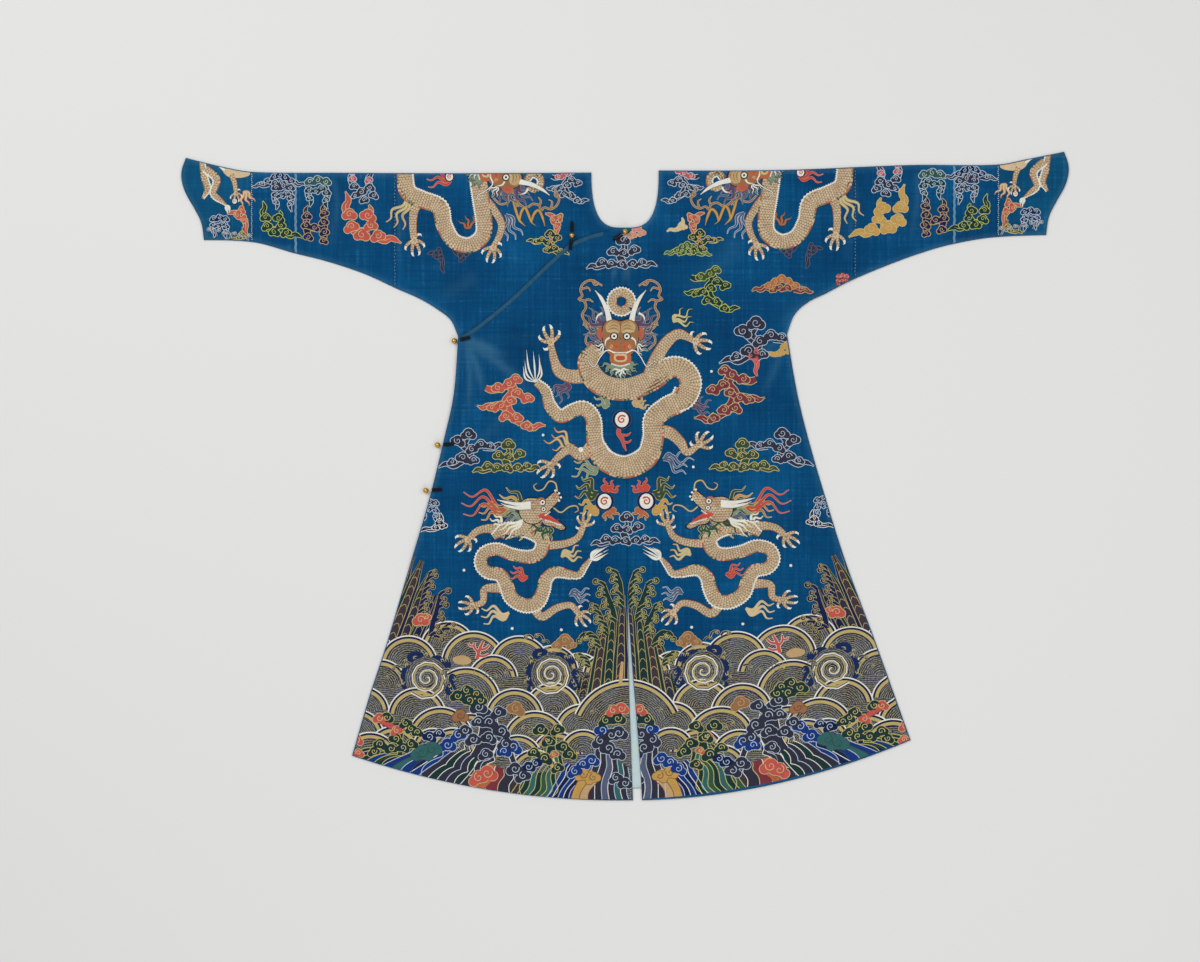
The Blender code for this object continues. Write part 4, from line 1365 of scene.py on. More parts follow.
def pearl(pen, x, y, radius, level=1, ring="navy"):
    """A white pearl with a red spiral, in a dark ring with a pale edge."""
    disc(pen, level, x, y, radius * 1.42, "slate", 1.0, count=24)
    disc(pen, level + 1, x, y, radius * 1.36, ring, 1.0, count=24)
    disc(pen, level + 2, x, y, radius, "white", 1.12, count=24)
    curl(pen, level + 3, x, y, radius * 0.66, "red", 1.4, 40, 1, radius * 0.13)


def eye(pen, x, y, radius, level=3):
    """Three discs, each smaller than the one beneath: rim, white and pupil."""
    disc(pen, level, x, y, radius * 1.35, "ink", count=14)
    disc(pen, level + 1, x, y, radius, "white", count=14)
    disc(pen, level + 2, x, y, radius * 0.42, "ink", count=10)


def teeth(pen, path, length, level=4, dye="white", gap=3.0, side=1):
    """A saw edge along a jaw."""
    track = line(path, gap / 2)
    saw = np.where(np.arange(len(track)) % 2, length, 0.5)[:, None]
    pen.lay(level, np.stack([track, track + beside(track) * side * saw], 1), dye)


def face_on_head(pen):
    """The chest dragon's head seen from the front, about its nose: horns, brow, eyes, muzzle, jaw and
    beard."""
    for s in (-1, 1):
        half = pen.at(0, 0, flip=s < 0)
        for k, (heading, length) in enumerate(((58, 60), (44, 64), (30, 60), (16, 56), (2, 50), (-12, 40))):
            dyes = (("slate", "grey"), ("plum", "grey"), ("slate", "cream"))[k % 3]
            tuft(half, 30 - k, 34 - k * 7, heading, length, 2, 14, dyes, level=k % 2, wave=0.12, half=3.4)
        streamer(half, ((34, 40), (56, 34), (76, 46), (84, 62), (76, 78), (80, 92), (92, 96), (84, 104),
                        (88, 118),
                        (80, 132), (62, 138), (40, 126)), "brown", "gold",
                 (2.6, 2.6, 2.4, 2.4, 2.2, 2.2, 1.4))
        for path in (((80, 92), (70, 96), (60, 90)), ((88, 118), (72, 122), (66, 114)),
                     ((62, 138), (56, 128), (46, 130))):
            streamer(half, path, "brown", "gold", (2.2, 2.0, 0.4))
        streamer(half, ((62, -14), (76, 2), (72, 20), (60, 24), (74, 34), (82, 46)), "brown", "gold",
                 (2.0, 2.2, 2.0, 1.8, 0.4))
        outlined(half, ((24, 46), (30, 72), (42, 98), (56, 116)), (6.0, 5.0, 3.6, 0.6), "white", "slate", 1.0,
                 gap=3.5, level=5)
        ribbon(half, 7, ((40, 66), (50, 60), (54, 48)), (2.4, 2.0, 0.4), "white")
        blob(half, 5, ((30, 22), (46, 34), (52, 22), (46, 8), (34, 6)), "rust", rings=2)
        blob(half, 6, ((34, 20), (44, 27), (46, 18), (40, 12)), "coral", rings=2)
        tuft(half, 34, -6, -30, 26, 3, 40, ("white", "ink"), level=4, wave=0.1, half=1.6)
        streamer(half, ((12, -22), (30, -16), (44, -30), (58, -52), (70, -40), (66, -32)), "white", "ink",
                 (2.0, 1.8, 1.6, 1.4, 1.2, 0.4), level=7)
    blob(pen, 5, ((-36, 44), (-18, 54), (0, 50), (18, 54), (36, 44), (42, 20), (36, -8), (24, -26), (0, -30),
                  (-24, -26), (-36, -8), (-42, 20)), "ink", (0, 10), 5)
    blob(pen, 6, ((-35, 43), (-18, 52), (0, 48), (18, 52), (35, 43), (40, 20), (35, -8), (23, -25), (0, -28),
                  (-23, -25), (-35, -8), (-40, 20)), "brown", (0, 10), 5)
    for s in (-1, 1):
        half = pen.at(0, 0, flip=s < 0)
        blob(half, 7, ((2, 24), (4, 44), (18, 49), (32, 40), (30, 26), (16, 22)), "tan", rings=3)
        for rise in (0, 7, 14):
            ribbon(half, 8, ((4, 28 + rise), (14, 33 + rise), (27 - rise * 0.4, 29 + rise)), (0.3, 0.7, 0.3),
                   "umber")
        ribbon(half, 8, ((3, 24), (14, 27), (30, 25)), (1.0, 1.6, 0.6), "cream")
        eye(half, 14, 15, 6.4, level=7)
        ribbon(half, 8, ((24, 12), (32, 6), (34, -6)), (2.0, 1.6, 0.4), "white")
        blob(half, 7, ((2, -4), (8, 2), (22, 0), (28, -8), (18, -16), (4, -14)), "rust", rings=2)
        disc(half, 8, 9, -8, 3.0, "red", 0.8, count=10)
        curl(half, 8, 21, -8, 4.4, "cream", 1.1, 90, 1, 0.8)
        teeth(half, ((0, -20), (14, -19), (26, -13)), 3.4, level=9, side=-1)
    blob(pen, 7, ((-20, -20), (0, -19), (20, -20), (22, -42), (0, -48), (-22, -42)), "rust", rings=3)
    blob(pen, 8, ((-13, -25), (0, -24), (13, -25), (13, -38), (0, -42), (-13, -38)), "cream", rings=2)
    blob(pen, 9, ((-9, -29), (0, -28), (9, -29), (9, -36), (0, -38), (-9, -36)), "red", rings=2)
    teeth(pen, ((-20, -44), (0, -49), (20, -44)), 4.5, level=8, side=-1)
    for heading in (-150, -128, -108, -90, -72, -52, -30):
        reach = 36 - 0.12 * abs(heading + 90)
        tuft(pen, 20 * math.cos(math.radians(heading)), -42 + 6 * math.sin(math.radians(heading)), heading,
             reach,
             2, 20, ("sage", "ink"), level=4, wave=0.14, half=3.0)
    tuft(pen, 0, -60, -90, 16, 5, 120, ("white", "slate"), level=5, half=1.8)


def side_head(pen, mouth="coral"):
    """A dragon's head in profile, facing +x, about the middle of its skull."""
    for k, (heading, length, dyes) in enumerate((
            (150, 66, ("moss", "cream")), (163, 74, ("ochre", "cream")), (176, 80, ("moss", "cream")),
            (188, 74, ("sage", "cream")), (200, 70, ("slate", "grey")), (214, 66, ("moss", "cream")),
            (228, 58, ("ochre", "cream")))):
        tuft(pen, -12, 8 - k * 6, heading, length, 2, 12, dyes, level=3, wave=0.10, half=3.4)
    tuft(pen, -26, -22, 216, 58, 3, 12, ("white", "cream"), level=5, wave=0.05, half=2.2)
    blob(pen, 5, ((-34, 12), (-16, 26), (8, 26), (22, 24), (30, 26), (42, 40), (52, 38), (56, 24), (46, 10),
                  (34, -2), (22, -14), (10, -30), (-12, -32), (-32, -16)), "ink", (-2, 0), 5)
    blob(pen, 6, ((-33, 11), (-16, 24), (8, 24), (22, 22), (30, 24), (43, 38), (51, 36), (54, 24), (45, 11),
                  (33, -1), (21, -13), (9, -28), (-12, -30), (-30, -15)), "gold", (-2, 0), 5, run=True)
    blob(pen, 7, ((-20, 8), (-8, 20), (8, 20), (18, 14), (8, 4), (-8, 0)), "tan", rings=3, run=True)
    for y, length in ((10, 66), (2, 58)):
        outlined(pen, ((-8, y + 4), (-34, y + 2), (-60, y + 6), (-length - 16, y + 12)), (4.6, 4.0, 2.8, 0.4),
                 "white", "slate", 0.9, gap=4.0, level=7)
    eye(pen, 18, 16, 5.6, level=7)
    eye(pen, 20, 1, 4.6, level=7)
    ribbon(pen, 8, ((4, 22), (16, 25), (26, 20)), (1.4, 2.0, 0.4), "rust")
    for x, y in ((46, 42), (54, 36), (58, 27), (54, 20)):
        disc(pen, 8, x, y, 2.6, "white", count=10)
    curl(pen, 8, 44, 30, 5.4, "rust", 1.1, 30, 1, 1.0)
    blob(pen, 5, ((14, -16), (30, -14), (48, -24), (64, -32), (70, -42), (58, -46), (40, -38), (22, -34)),
         "ink", rings=3)
    blob(pen, 6, ((16, -18), (30, -16), (48, -26), (62, -33), (67, -41), (57, -44), (41, -37), (22, -32)),
         "tan", rings=3, run=True)
    blob(pen, 7, ((8, -12), (24, -8), (36, -14), (50, -24), (58, -31), (44, -29), (28, -24), (14, -20)),
         mouth, rings=2)
    teeth(pen, ((34, -3), (22, -12), (12, -20)), 4.0, level=8, side=1)
    teeth(pen, ((22, -24), (40, -29), (58, -36)), 4.0, level=8, side=1)
    ribbon(pen, 8, ((14, -15), (30, -18), (46, -26), (54, -20)), (3.4, 3.0, 2.2, 0.4), "red")
    for heading, length in ((-160, 34), (-132, 40), (-104, 38)):
        tuft(pen, 26 + (heading + 130) * 0.3, -38, heading, length, 2, 24, ("green", "cream"), level=4,
             wave=0.14, half=2.6)
    streamer(pen, ((50, 40), (46, 58), (32, 62), (20, 46), (6, 42), (-2, 52), (6, 58)), "cream", "brown",
             (1.6, 1.6, 1.5, 1.4, 1.3, 1.0, 0.4), level=6)
    streamer(pen, ((42, 4), (58, -6), (76, 6), (92, 8), (96, -2), (88, -6)), "cream", "brown",
             (1.6, 1.6, 1.5, 1.4, 1.2, 0.4), level=6)


# ---- The sea and its rocks ----

WAVE = (0.0, 2.9, 7.4, 14.6, 16.4)
WAVE_DYES = ("white", "navy", "straw", "navy")


def scallop(pen, x, crest, radius, tilt=0.0, reach=82, level=0):
    """An arched wave: bands of white, navy and tan round a hatched middle."""
    angle = np.radians(np.linspace(90 - reach, 90 + reach, max(int(radius * 0.36), 10)) + tilt)
    y = crest - radius
    bands = radius - np.array(WAVE)[:, None]
    points = np.stack([x + bands * np.cos(angle), y + bands * np.sin(angle)], -1)
    pen.lay(level, points, np.array([DYES[name] for name in WAVE_DYES])[:, None])
    sea_disc(pen, level, x, y, radius - WAVE[-1], angle)


def sea_disc(pen, level, x, y, radius, angle, inner=0.04):
    """Rings about a point; the run map holds the arc length and the distance from the middle."""
    r = np.linspace(inner, 1, max(int(radius / 7), 3))[:, None] * radius
    points = np.stack([x + r * np.cos(angle), y + r * np.sin(angle)], -1)
    run = np.stack([np.broadcast_to(angle * radius * MM, (len(r), len(angle))),
                    np.broadcast_to(r * MM, (len(r), len(angle)))], -1)
    pen.lay(level, points, "sea", run)


def roundel(pen, x, y, radius, level=0):
    """A whirling ball of water: a banded spiral that runs in from its rim, over a blue ground with flecks."""
    for k in range(11):
        a = 2 * math.pi * (k + 0.34 * math.sin(2.6 * k)) / 11
        r = radius * (1.10 + 0.16 * math.sin(1.9 * k + 1))
        disc(pen, level, x + r * math.cos(a), y + r * math.sin(a), radius * (0.24 + 0.08 * (k % 3)), "deep",
             0.8,
             math.degrees(a) + 90, count=12)
    for k in range(22):
        a = 2 * math.pi * (k + 0.3 * (k % 3)) / 22
        r = radius * (1.18 if k % 2 else 1.34)
        spot = pen.at(x + r * math.cos(a), y + r * math.sin(a), radius / 50, math.degrees(a))
        curl(spot, level + 1, 0, 0, 5.0, ("straw", "sage", "cream")[k % 3], 0.8, 200, 1 if k % 4 < 2 else -1,
             0.8)
        ribbon(spot, level + 1, ((-2, -7), (1, -1), (-3, 6)), (0.4, 1.1, 0.4), "straw" if k % 2 else "sage",
               gap=3)
    sea_disc(pen, level + 2, x, y, radius * 1.02, np.linspace(0, 2 * math.pi, 34))
    for step, (inside, dye, thick) in enumerate(((4.6, "straw", 2.6), (1.9, "navy", 1.5), (0, "white", 1.5))):
        curl(pen, level + 4 + step, x, y, radius * 1.02 - inside, dye, 2.6, 222, 1, thick, 0.06)


def rock(pen, path, half, core="charcoal", level=0, rim="straw"):
    """A steep rock: nested ribs that narrow to its blunt tip, with a few chevrons up its face."""
    edges = (-1, -0.92, -0.54, -0.46, 0, 0.46, 0.54, 0.92, 1)
    ribbon(pen, level, path, half, (rim, "navy", rim, core, core, rim, "forest", rim), edges, gap=7)
    track = line(path, 24.0)
    wide = along(half, len(track)) * 0.50
    side = beside(track)
    ahead = np.gradient(track, axis=0)
    ahead /= np.linalg.norm(ahead, axis=1)[:, None]
    for k in range(1, len(track) - 1):
        if wide[k] > 3.5:
            tip = track[k] + ahead[k] * wide[k] * 1.2
            ribbon(pen, level + 1, (track[k] - side[k] * wide[k], tip, track[k] + side[k] * wide[k]),
                   (0.4, 0.7, 0.4), rim, gap=4)


def foam(pen, path, size=1.0, side=1, fill="forest", rim="yellow", level=0, pitch=16.0):
    """A fringe of foam: a dark fillet along the path with curling crests that leap from one side of it."""
    outlined(pen, path, (4.4 * size, 5.4 * size, 4.6 * size, 2.4 * size), fill, rim, 0.8, gap=4, level=level)
    track = line(path, pitch * size)
    out = beside(track) * side
    ahead = np.gradient(track, axis=0)
    ahead /= np.linalg.norm(ahead, axis=1)[:, None]
    for k in range(len(track)):
        reach = size * (1.1 if k % 2 else 1.6)
        knee = track[k] + ahead[k] * 5 * reach + out[k] * 4 * reach
        end = track[k] + ahead[k] * 8 * reach + out[k] * 11 * reach
        spray(pen, (track[k], knee, end), 5.2 * reach ** 0.5 * size ** 0.5, -side, fill, rim,
              (3.4 * size, 3.2 * size, 2.4 * size), level + 1)


def spray(pen, path, hook=7.0, spin=1, fill="forest", rim="cream", half=(3.4, 3.0, 2.4, 1.8), level=0):
    """A jet of foam that ends in a curl."""
    outlined(pen, path, half, fill, rim, 1.0, gap=3.5, level=level)
    x, y = path[-1]
    disc(pen, level + 1, x, y, hook + 0.9, (fill, rim), rings=(0.02, hook / (hook + 0.9), 1.0), count=14)
    curl(pen, level + 2, x, y, hook * 0.68, rim, 1.1, 60, spin, 0.8)


def stripes(pen, starts, ends, dyes, lines, waves=2.5, swing=7.0, level=0):
    """Parallel bands that sway down to the hem: an edge k runs from starts to ends at its share of the
    way."""
    count = len(dyes) + 1
    share = np.linspace(0, 1, count)[:, None]
    t = np.linspace(0, 1, 44)[None]
    (x0, y0), (x1, y1) = starts
    (x2, y2), (x3, y3) = ends
    bend = t + 0.10 * np.sin(2 * math.pi * t * waves + share * 2)
    x = mix(mix(x0, x1, share), mix(x2, x3, share), bend)
    y = mix(mix(y0, y1, share), mix(y2, y3, share), t)
    run = np.array([x3 + x2 - x1 - x0, y3 + y2 - y1 - y0]) / 2
    off = np.array([-run[1], run[0]]) / np.hypot(*run)
    sway = swing * np.sin(2 * math.pi * (t * waves + 0.12 * share)) * smooth(t * 4)
    points = np.stack([x + off[0] * sway, y + off[1] * sway], -1)
    pen.lay(level, points, np.array([DYES[name] for name in dyes])[:, None])
    for k in range(count):
        edge = points[k]
        side = beside(edge) * 0.8
        pen.lay(level + 1, np.stack([edge - side, edge + side], 1), lines[k % len(lines)])


def coral_branch(pen, x, y, size, turn, fill="coral", rim="white"):
    """A stem and four stubs, each a rounded strip."""
    here = pen.at(x, y, size, turn)
    for path, half in ((((0, -22), (0, 0), (4, 22)), (4, 3.6, 2.4)),
                       (((0, -6), (-12, 2), (-16, 14)), (3, 2.6, 2)),
                       (((0, 0), (13, 6), (20, 18)), (3, 2.6, 2)),
                       (((0, -14), (13, -12), (24, -4)), (3, 2.4, 2)),
                       (((-14, 6), (-24, 4), (-28, 10)), (2.2, 2, 1.6))):
        outlined(here, path, half, fill, rim, 1.0, gap=3.5)


SCALLOPS = (    # across, crest, radius, row
    (-389, -318, 62, 0), (-560, -345, 60, 0), (-476, -350, 66, 1), (-333, -340, 72, 1), (-538, -402, 62, 2),
    (-232, -350, 68, 2), (-159, -371, 58, 1), (-100, -388, 52, 0), (-290, -392, 56, 3), (-350, -419, 78, 3),
    (-50, -392, 44, 0), (-575, -462, 58, 6), (-457, -464, 66, 7), (-243, -466, 66, 7), (-159, -453, 64, 6),
    (-96, -500, 60, 8), (-406, -506, 74, 8), (-198, -515, 72, 9), (-590, -512, 62, 8), (-340, -520, 62, 7),
    (-508, -548, 62, 9), (-423, -553, 46, 10), (-378, -552, 56, 11), (-560, -562, 66, 10),
            (-150, -560, 58, 10),
    (-236, -568, 56, 11), (-92, -556, 52, 11), (-200, -600, 54, 12),
)
HEM_CLOUDS = (  # fill, rim, radius and places
    ("charcoal", "ice", 16, ((-322, -509), (-278, -520), (-322, -541), (-272, -562), (-334, -580),
                             (-306, -612),
                             (-298, -542), (-300, -576), (-352, -560), (-262, -590))),
    ("royal", "ice", 16, ((-390, -592), (-366, -570), (-266, -606), (-246, -596))),
    ("forest", "yellow", 14, ((-368, -484), (-348, -472), (-326, -480), (-342, -494), (-318, -494))),
    ("brown", "maroon", 15, ((-362, -528),)),
    ("forest", "yellow", 14, ((-186, -558), (-148, -558), (-200, -608), (-136, -596), (-168, -584),
                              (-148, -642),
                              (-176, -622), (-122, -612))),
    ("forest", "yellow", 13, ((-524, -532), (-482, -544), (-456, -564), (-504, -578), (-514, -600),
                              (-470, -556),
                              (-538, -590), (-488, -598), (-552, -606), (-470, -590))),
    ("charcoal", "ice", 16, ((-242, -645), (-224, -660))),
    ("coral", "cream", 19, ((-303, -655), (-322, -664))),
    ("teal", "moss", 20, ((-446, -610), (-424, -602))),
    ("coral", "cream", 12, ((-540, -533), (-502, -560), (-586, -610), (-590, -580))),
    ("rust", "cream", 9, ((-172, -580), (-156, -612))),
    ("navy", "ice", 13, ((-212, -640), (-196, -632), (-408, -566), (-430, -574))),
)
CENTRE_CLOUDS = (
    ("royal", "ice", 15, ((-74, -626), (-110, -650), (-92, -634), (-50, -560))),
    ("forest", "yellow", 15, ((-16, -534), (-42, -538))),
    ("coral", "cream", 14, ((-8, -512), (-26, -516))),
    ("charcoal", "ice", 17, ((-14, -566), (-54, -583), (-16, -612), (-36, -600), (-30, -570))),
    ("charcoal", "ice", 14, ((0, -676), (-20, -664))),
    ("ochre", "umber", 15, ((-92, -658), (-70, -664))),
)


def heads_of(pen, table, level):
    """Cloud heads at the places of a table, in three sizes, each curl a quarter turn on."""
    for fill, rim, radius, spots in table:
        heads(pen, level, [(x, y, radius * (1 - 0.08 * (k % 3)), 90 * k + 20, 1 if k % 2 else -1)
                           for k, (x, y) in enumerate(spots)], fill, rim, 0.9, 1.3)


def sea(group, half):
    """The hatched ground from its crest line to the hem, then waves, striped water and foam."""
    pen = Pen(group, half)
    across = np.linspace(-640, 14, 90)
    crest = np.interp(across, (-640, -540, -480, -390, -330, -235, -160, -90, 14),
                      (-370, -372, -375, -345, -365, -378, -398, -420, -470))
    down = np.linspace(0, 1, 46)[:, None]
    low = hem(across * MM)[None] / MM
    y = mix(crest[None], low, down)
    x = np.broadcast_to(across[None], y.shape)
    pen.lay(0, np.stack([x, y], -1), "sea", np.stack([x * MM, y * MM], -1))
    for x, crest, radius, row in SCALLOPS:
        scallop(pen, x, crest, radius, 0, level=1 + row)
    roundel(pen, -436, -445, 46, level=5)
    roundel(pen, -163, -436, 44, level=5)
    scallop(pen, 6, -446, 128, 0, 66, level=12)
    # Folded water that sweeps to the hem
    stripes(pen, ((-352, -575), (-285, -612)), ((-478, -655), (-330, -712)),
            ("royal", "charcoal", "forest", "charcoal", "charcoal", "forest", "maroon", "charcoal"),
            ("white", "ice", "white"), level=12)
    stripes(pen, ((-318, -625), (-226, -655)), ((-372, -690), (-232, -728)),
            ("charcoal", "rust", "maroon", "charcoal", "umber_dark"), ("white", "cream"), 1.5, 4, level=13)
    stripes(pen, ((-190, -596), (-136, -616)), ((-262, -718), (-166, -738)),
            ("green", "forest", "teal", "forest", "green", "teal", "forest"), ("lime", "yellow"), 2.0, 7,
            level=13)
    stripes(pen, ((-128, -630), (-84, -650)), ((-186, -732), (-124, -742)),
            ("royal", "navy", "royal", "navy", "royal"),
            ("ice", "white"), 1.5, 5, level=13)
    stripes(pen, ((-92, -640), (-58, -652)), ((-132, -740), (-92, -746)), ("ochre", "tan"),
            ("maroon", "umber"),
            1.5, 5, level=14)
    stripes(pen, ((-62, -590), (6, -640)), ((-92, -742), (12, -768)),
            ("charcoal", "charcoal", "slate", "charcoal", "teal", "charcoal"), ("ice", "white"), 1.5, 5,
            level=13)
    stripes(pen, ((-450, -585), (-392, -600)), ((-568, -640), (-466, -666)),
            ("navy", "royal", "teal", "royal", "navy"),
            ("moss", "ice"), 1.5, 4, level=12)
    stripes(pen, ((-520, -590), (-480, -606)), ((-632, -612), (-552, -642)),
            ("forest", "navy", "forest", "royal", "forest"), ("lime", "yellow"), 1.5, 4, level=12)
    for path, half_widths in ((((-322, -505), (-300, -545), (-306, -590), (-330, -620)), (12, 20, 22, 12)),
                              (((-300, -560), (-262, -590), (-240, -640)), (6, 6, 5))):
        outlined(pen, path, half_widths, "charcoal", "white", level=14)
    outlined(pen, ((-165, -560), (-160, -590), (-170, -625)), (9, 9, 7), "forest", "lime", level=14)
    outlined(pen, ((-500, -545), (-498, -575), (-515, -605)), (9, 9, 7), "forest", "lime", level=14)
    outlined(pen, ((-548, -532), (-520, -546), (-494, -562)), (5, 6, 3), "coral", "maroon", level=15)
    outlined(pen, ((-300, -665), (-326, -690), (-345, -700)), (9, 9, 5), "rust", "maroon", level=15)
    heads_of(pen, HEM_CLOUDS, 16)
    heads_of(pen, CENTRE_CLOUDS, 16)
    # Treasures thrown up among the waves
    blob(pen, 11, ((-378, -400), (-356, -394), (-338, -404), (-346, -414), (-372, -412)), "tan")
    coral_branch(pen, -320, -382, 0.95, -14)
    coral_branch(pen.at(0, 0, level=10), -320, -382, 0.95, -14)
    heads(pen, 11, ((-132, -362, 15, 0, 1), (-118, -372, 9, 90, -1), (-150, -372, 9, 0, 1),
                    (-240, -512, 16, 90, 1)),
          "brown", "tan", 0.8)
    for x, y, size in ((-214, -352, 0.9), (-190, -350, 0.9), (-176, -362, 0.7), (-208, -560, 0.8),
                       (-222, -552, 0.8),
                       (-245, -586, 0.8), (-372, -548, 0.8), (-260, -430, 0.8), (-280, -440, 0.7),
                       (-400, -430, 0.8),
                       (-395, -450, 0.7), (-506, -420, 0.8), (-520, -440, 0.7), (-40, -520, 0.7),
                       (-70, -516, 0.7)):
        here = pen.at(x, y, size, (x * 7) % 90, flip=int(x) % 2 == 0, level=13)
        spray(here, ((-8, -14), (-7, -4), (0, 3), (5, 1)), 4.5, 1, "navy", "cream", (2.2, 2.0, 1.6, 1.2))


def side_rocks(group, half):
    """Rocks that lean with the side edge, with a coral cloud and foam at their inner foot."""
    pen = Pen(group, half)
    for x0, x1, tip, wide, core in ((-570, -488, -172, 17, "charcoal"), (-546, -466, -176, 17, "forest"),
                                    (-520, -446, -186, 17, "umber_dark"), (-494, -430, -214, 16, "charcoal"),
                                    (-470, -416, -262, 14, "navy")):
        path = ((x0, -375), (mix(x0, x1, 0.5), mix(-375, tip, 0.5)), (mix(x0, x1, 0.8), mix(-375, tip, 0.8)),
                (x1, tip))
        rock(pen, path, (wide * 1.1, wide, wide * 0.8, 5), core, level=0)
    foam(pen, ((-428, -352), (-422, -322), (-414, -296), (-408, -262)), 1.0, -1, "navy", "straw", 5)
    foam(pen, ((-452, -300), (-444, -270), (-436, -236), (-430, -214)), 0.85, -1, "navy", "straw", 4)
    foam(pen, ((-420, -352), (-402, -340), (-390, -326)), 0.9, -1, "navy", "straw", 6)
    heads(pen, 9, ((-449, -317, 15, 0, 1), (-437, -311, 9, 90, -1)), "coral", "cream", 0.9)


def centre_rocks(group, half):
    """Steep rocks beside the slit with foam leaping up their flanks."""
    pen = Pen(group, half)
    rock(pen, ((-96, -500), (-84, -440), (-70, -385), (-55, -345)), (17, 15, 12, 5), "charcoal", 0)
    rock(pen, ((-68, -500), (-57, -420), (-48, -360), (-40, -316)), (19, 17, 14, 5), "umber_dark", 2)
    rock(pen, ((-40, -500), (-33, -400), (-27, -320), (-21, -280)), (19, 17, 13, 5), "forest", 4)
    rock(pen, ((-12, -490), (-9, -400), (-7, -320), (-4, -262)), (19, 17, 12, 5), "charcoal", 6)
    outlined(pen, ((-10, -455), (-8, -430), (-6, -408)), (4, 4, 3), "tan", "maroon", level=11)
    foam(pen, ((-5, -290), (-8, -262), (-10, -238), (-16, -214)), 0.95, 1, level=10)
    foam(pen, ((-20, -320), (-28, -290), (-38, -262), (-44, -240)), 1.0, 1, level=11)
    foam(pen, ((-38, -350), (-44, -326), (-54, -306), (-60, -288)), 0.9, 1, level=12)
    foam(pen, ((-56, -376), (-62, -360), (-76, -346), (-90, -346)), 0.9, 1, level=13)
    foam(pen, ((-78, -420), (-84, -404), (-96, -392)), 0.8, 1, level=12)


# ---- The figures' places ----

def skirt_dragon(group, half):
    """A rising dragon seen from the side: an S of two bends, four limbs, a plume and a head."""
    pen = Pen(group, half, level=11)
    for x, y, heading, length, dyes in (
            (-250, -60, 178, 110, ("red", "pink")), (-262, -72, 186, 60, ("rust", "cream")),
            (-214, -222, 160, 40, ("red", "pink")), (-255, -300, 186, 62, ("gold", "cream")),
            (-122, -262, -2, 46, ("slate", "ice")), (-140, -178, 14, 46, ("cream", "tan")),
            (-262, -112, 150, 40, ("white", "cream"))):
        tuft(pen, x, y, heading, length, 3, 20, dyes, level=0, wave=0.14)
    limb(pen, ((-262, -128), (-292, -116), (-322, -120), (-342, -136)), (11, 10, 8, 6.5), 1.0, 0, 215)
    limb(pen, ((-192, -150), (-160, -152), (-126, -147), (-103, -134), (-92, -112)), (10, 9, 8, 7, 6), 0.9, 0,
         65)
    limb(pen, ((-262, -248), (-286, -246), (-309, -250), (-312, -276), (-330, -284)), (11, 10, 8, 7, 6), 0.95,
         0, 170)
    limb(pen, ((-200, -290), (-182, -309), (-150, -290), (-120, -284), (-104, -300)), (10, 9, 8, 7, 6), 0.95,
         0, -55)
    body(pen, ((-118, -217), (-101, -217), (-87, -197), (-76, -183)), (8, 7, 6, 4), -1, level=1)
    body(pen, ((-250, -122), (-216, -121), (-182, -140), (-188, -168), (-211, -178), (-250, -172),
               (-281, -161),
               (-309, -169), (-317, -192), (-303, -211), (-275, -217), (-261, -239), (-250, -267),
               (-222, -284),
               (-194, -279), (-180, -253), (-174, -228), (-154, -211), (-118, -217)),
         (10, 14, 15, 14, 13, 13, 13, 13, 14, 15, 15, 15, 14, 12, 9), -1, level=2)
    body(pen, ((-290, -134), (-262, -116), (-232, -118), (-205, -106), (-196, -88)), (7, 12, 15, 16, 17), 1,
         level=3)
    plume(pen, -76, -184, 38, 50, 6, 84, level=3)
    side_head(pen.at(-199, -74))
    pearl(pen, -45, -56, 15, level=3)
    for x, y, heading, length, dyes in ((-60, -36, 160, 50, ("moss", "yellow")),
                                        (-40, -36, 60, 30, ("red", "pink")),
                                        (-62, -66, 200, 40, ("ochre", "cream")),
                                        (-36, -74, -70, 24, ("rust", "cream"))):
        tuft(pen, x, y, heading, length, 3, 30, dyes, level=1, wave=0.2, half=3.6)
    for x, y in ((-354, -207), (-248, -335), (-140, -338)):
        disc(pen, 1, x, y, 3.2, "white", count=10)


def shoulder_dragon(group, half):
    """A dragon that comes over the shoulder fold: a U of body, two limbs and its head."""
    pen = Pen(group, half, level=11)
    limb(pen, ((-452, 604), (-464, 580), (-466, 548), (-464, 522)), (10, 9, 8, 7), 1.0, 0, -90)
    limb(pen, ((-318, 618), (-292, 590), (-272, 556), (-276, 528), (-288, 506)), (10, 9, 8, 7, 6), 1.0, 0,
         -110)
    tuft(pen, -480, 610, 245, 70, 3, 24, ("cream", "tan"), level=0)
    tuft(pen, -262, 575, -70, 60, 3, 24, ("slate", "ice"), level=0)
    tuft(pen, -380, 652, 178, 56, 3, 24, ("red", "pink"), level=0)
    tuft(pen, -340, 545, 110, 30, 3, 50, ("rust", "moss"), level=0)
    pearl(pen, -386, 658, 8, level=0)
    body(pen, ((-485, 672), (-478, 626), (-447, 608), (-408, 591), (-398, 552), (-377, 517), (-342, 507),
               (-313, 528), (-310, 563), (-317, 612), (-326, 672)),
         (17, 18, 18, 18, 17, 16, 16, 17, 18, 18, 17), 1,
         level=1)
    face_on_head(pen.at(-276, 670, 0.95, -90))
    body(pen, ((-216, 650), (-204, 664), (-188, 656), (-186, 640), (-198, 630), (-212, 636)), 7, -1, level=3)
    for path in (((-246, 604), (-240, 584), (-232, 562), (-219, 549)),
                 ((-232, 562), (-228, 580), (-220, 590), (-212, 574), (-206, 558), (-197, 551)),
                 ((-206, 558), (-200, 576), (-190, 584), (-182, 570), (-176, 549))):
        streamer(pen, path, "ochre", "umber", (2.6, 3.6, 3.4, 0.6), level=6)


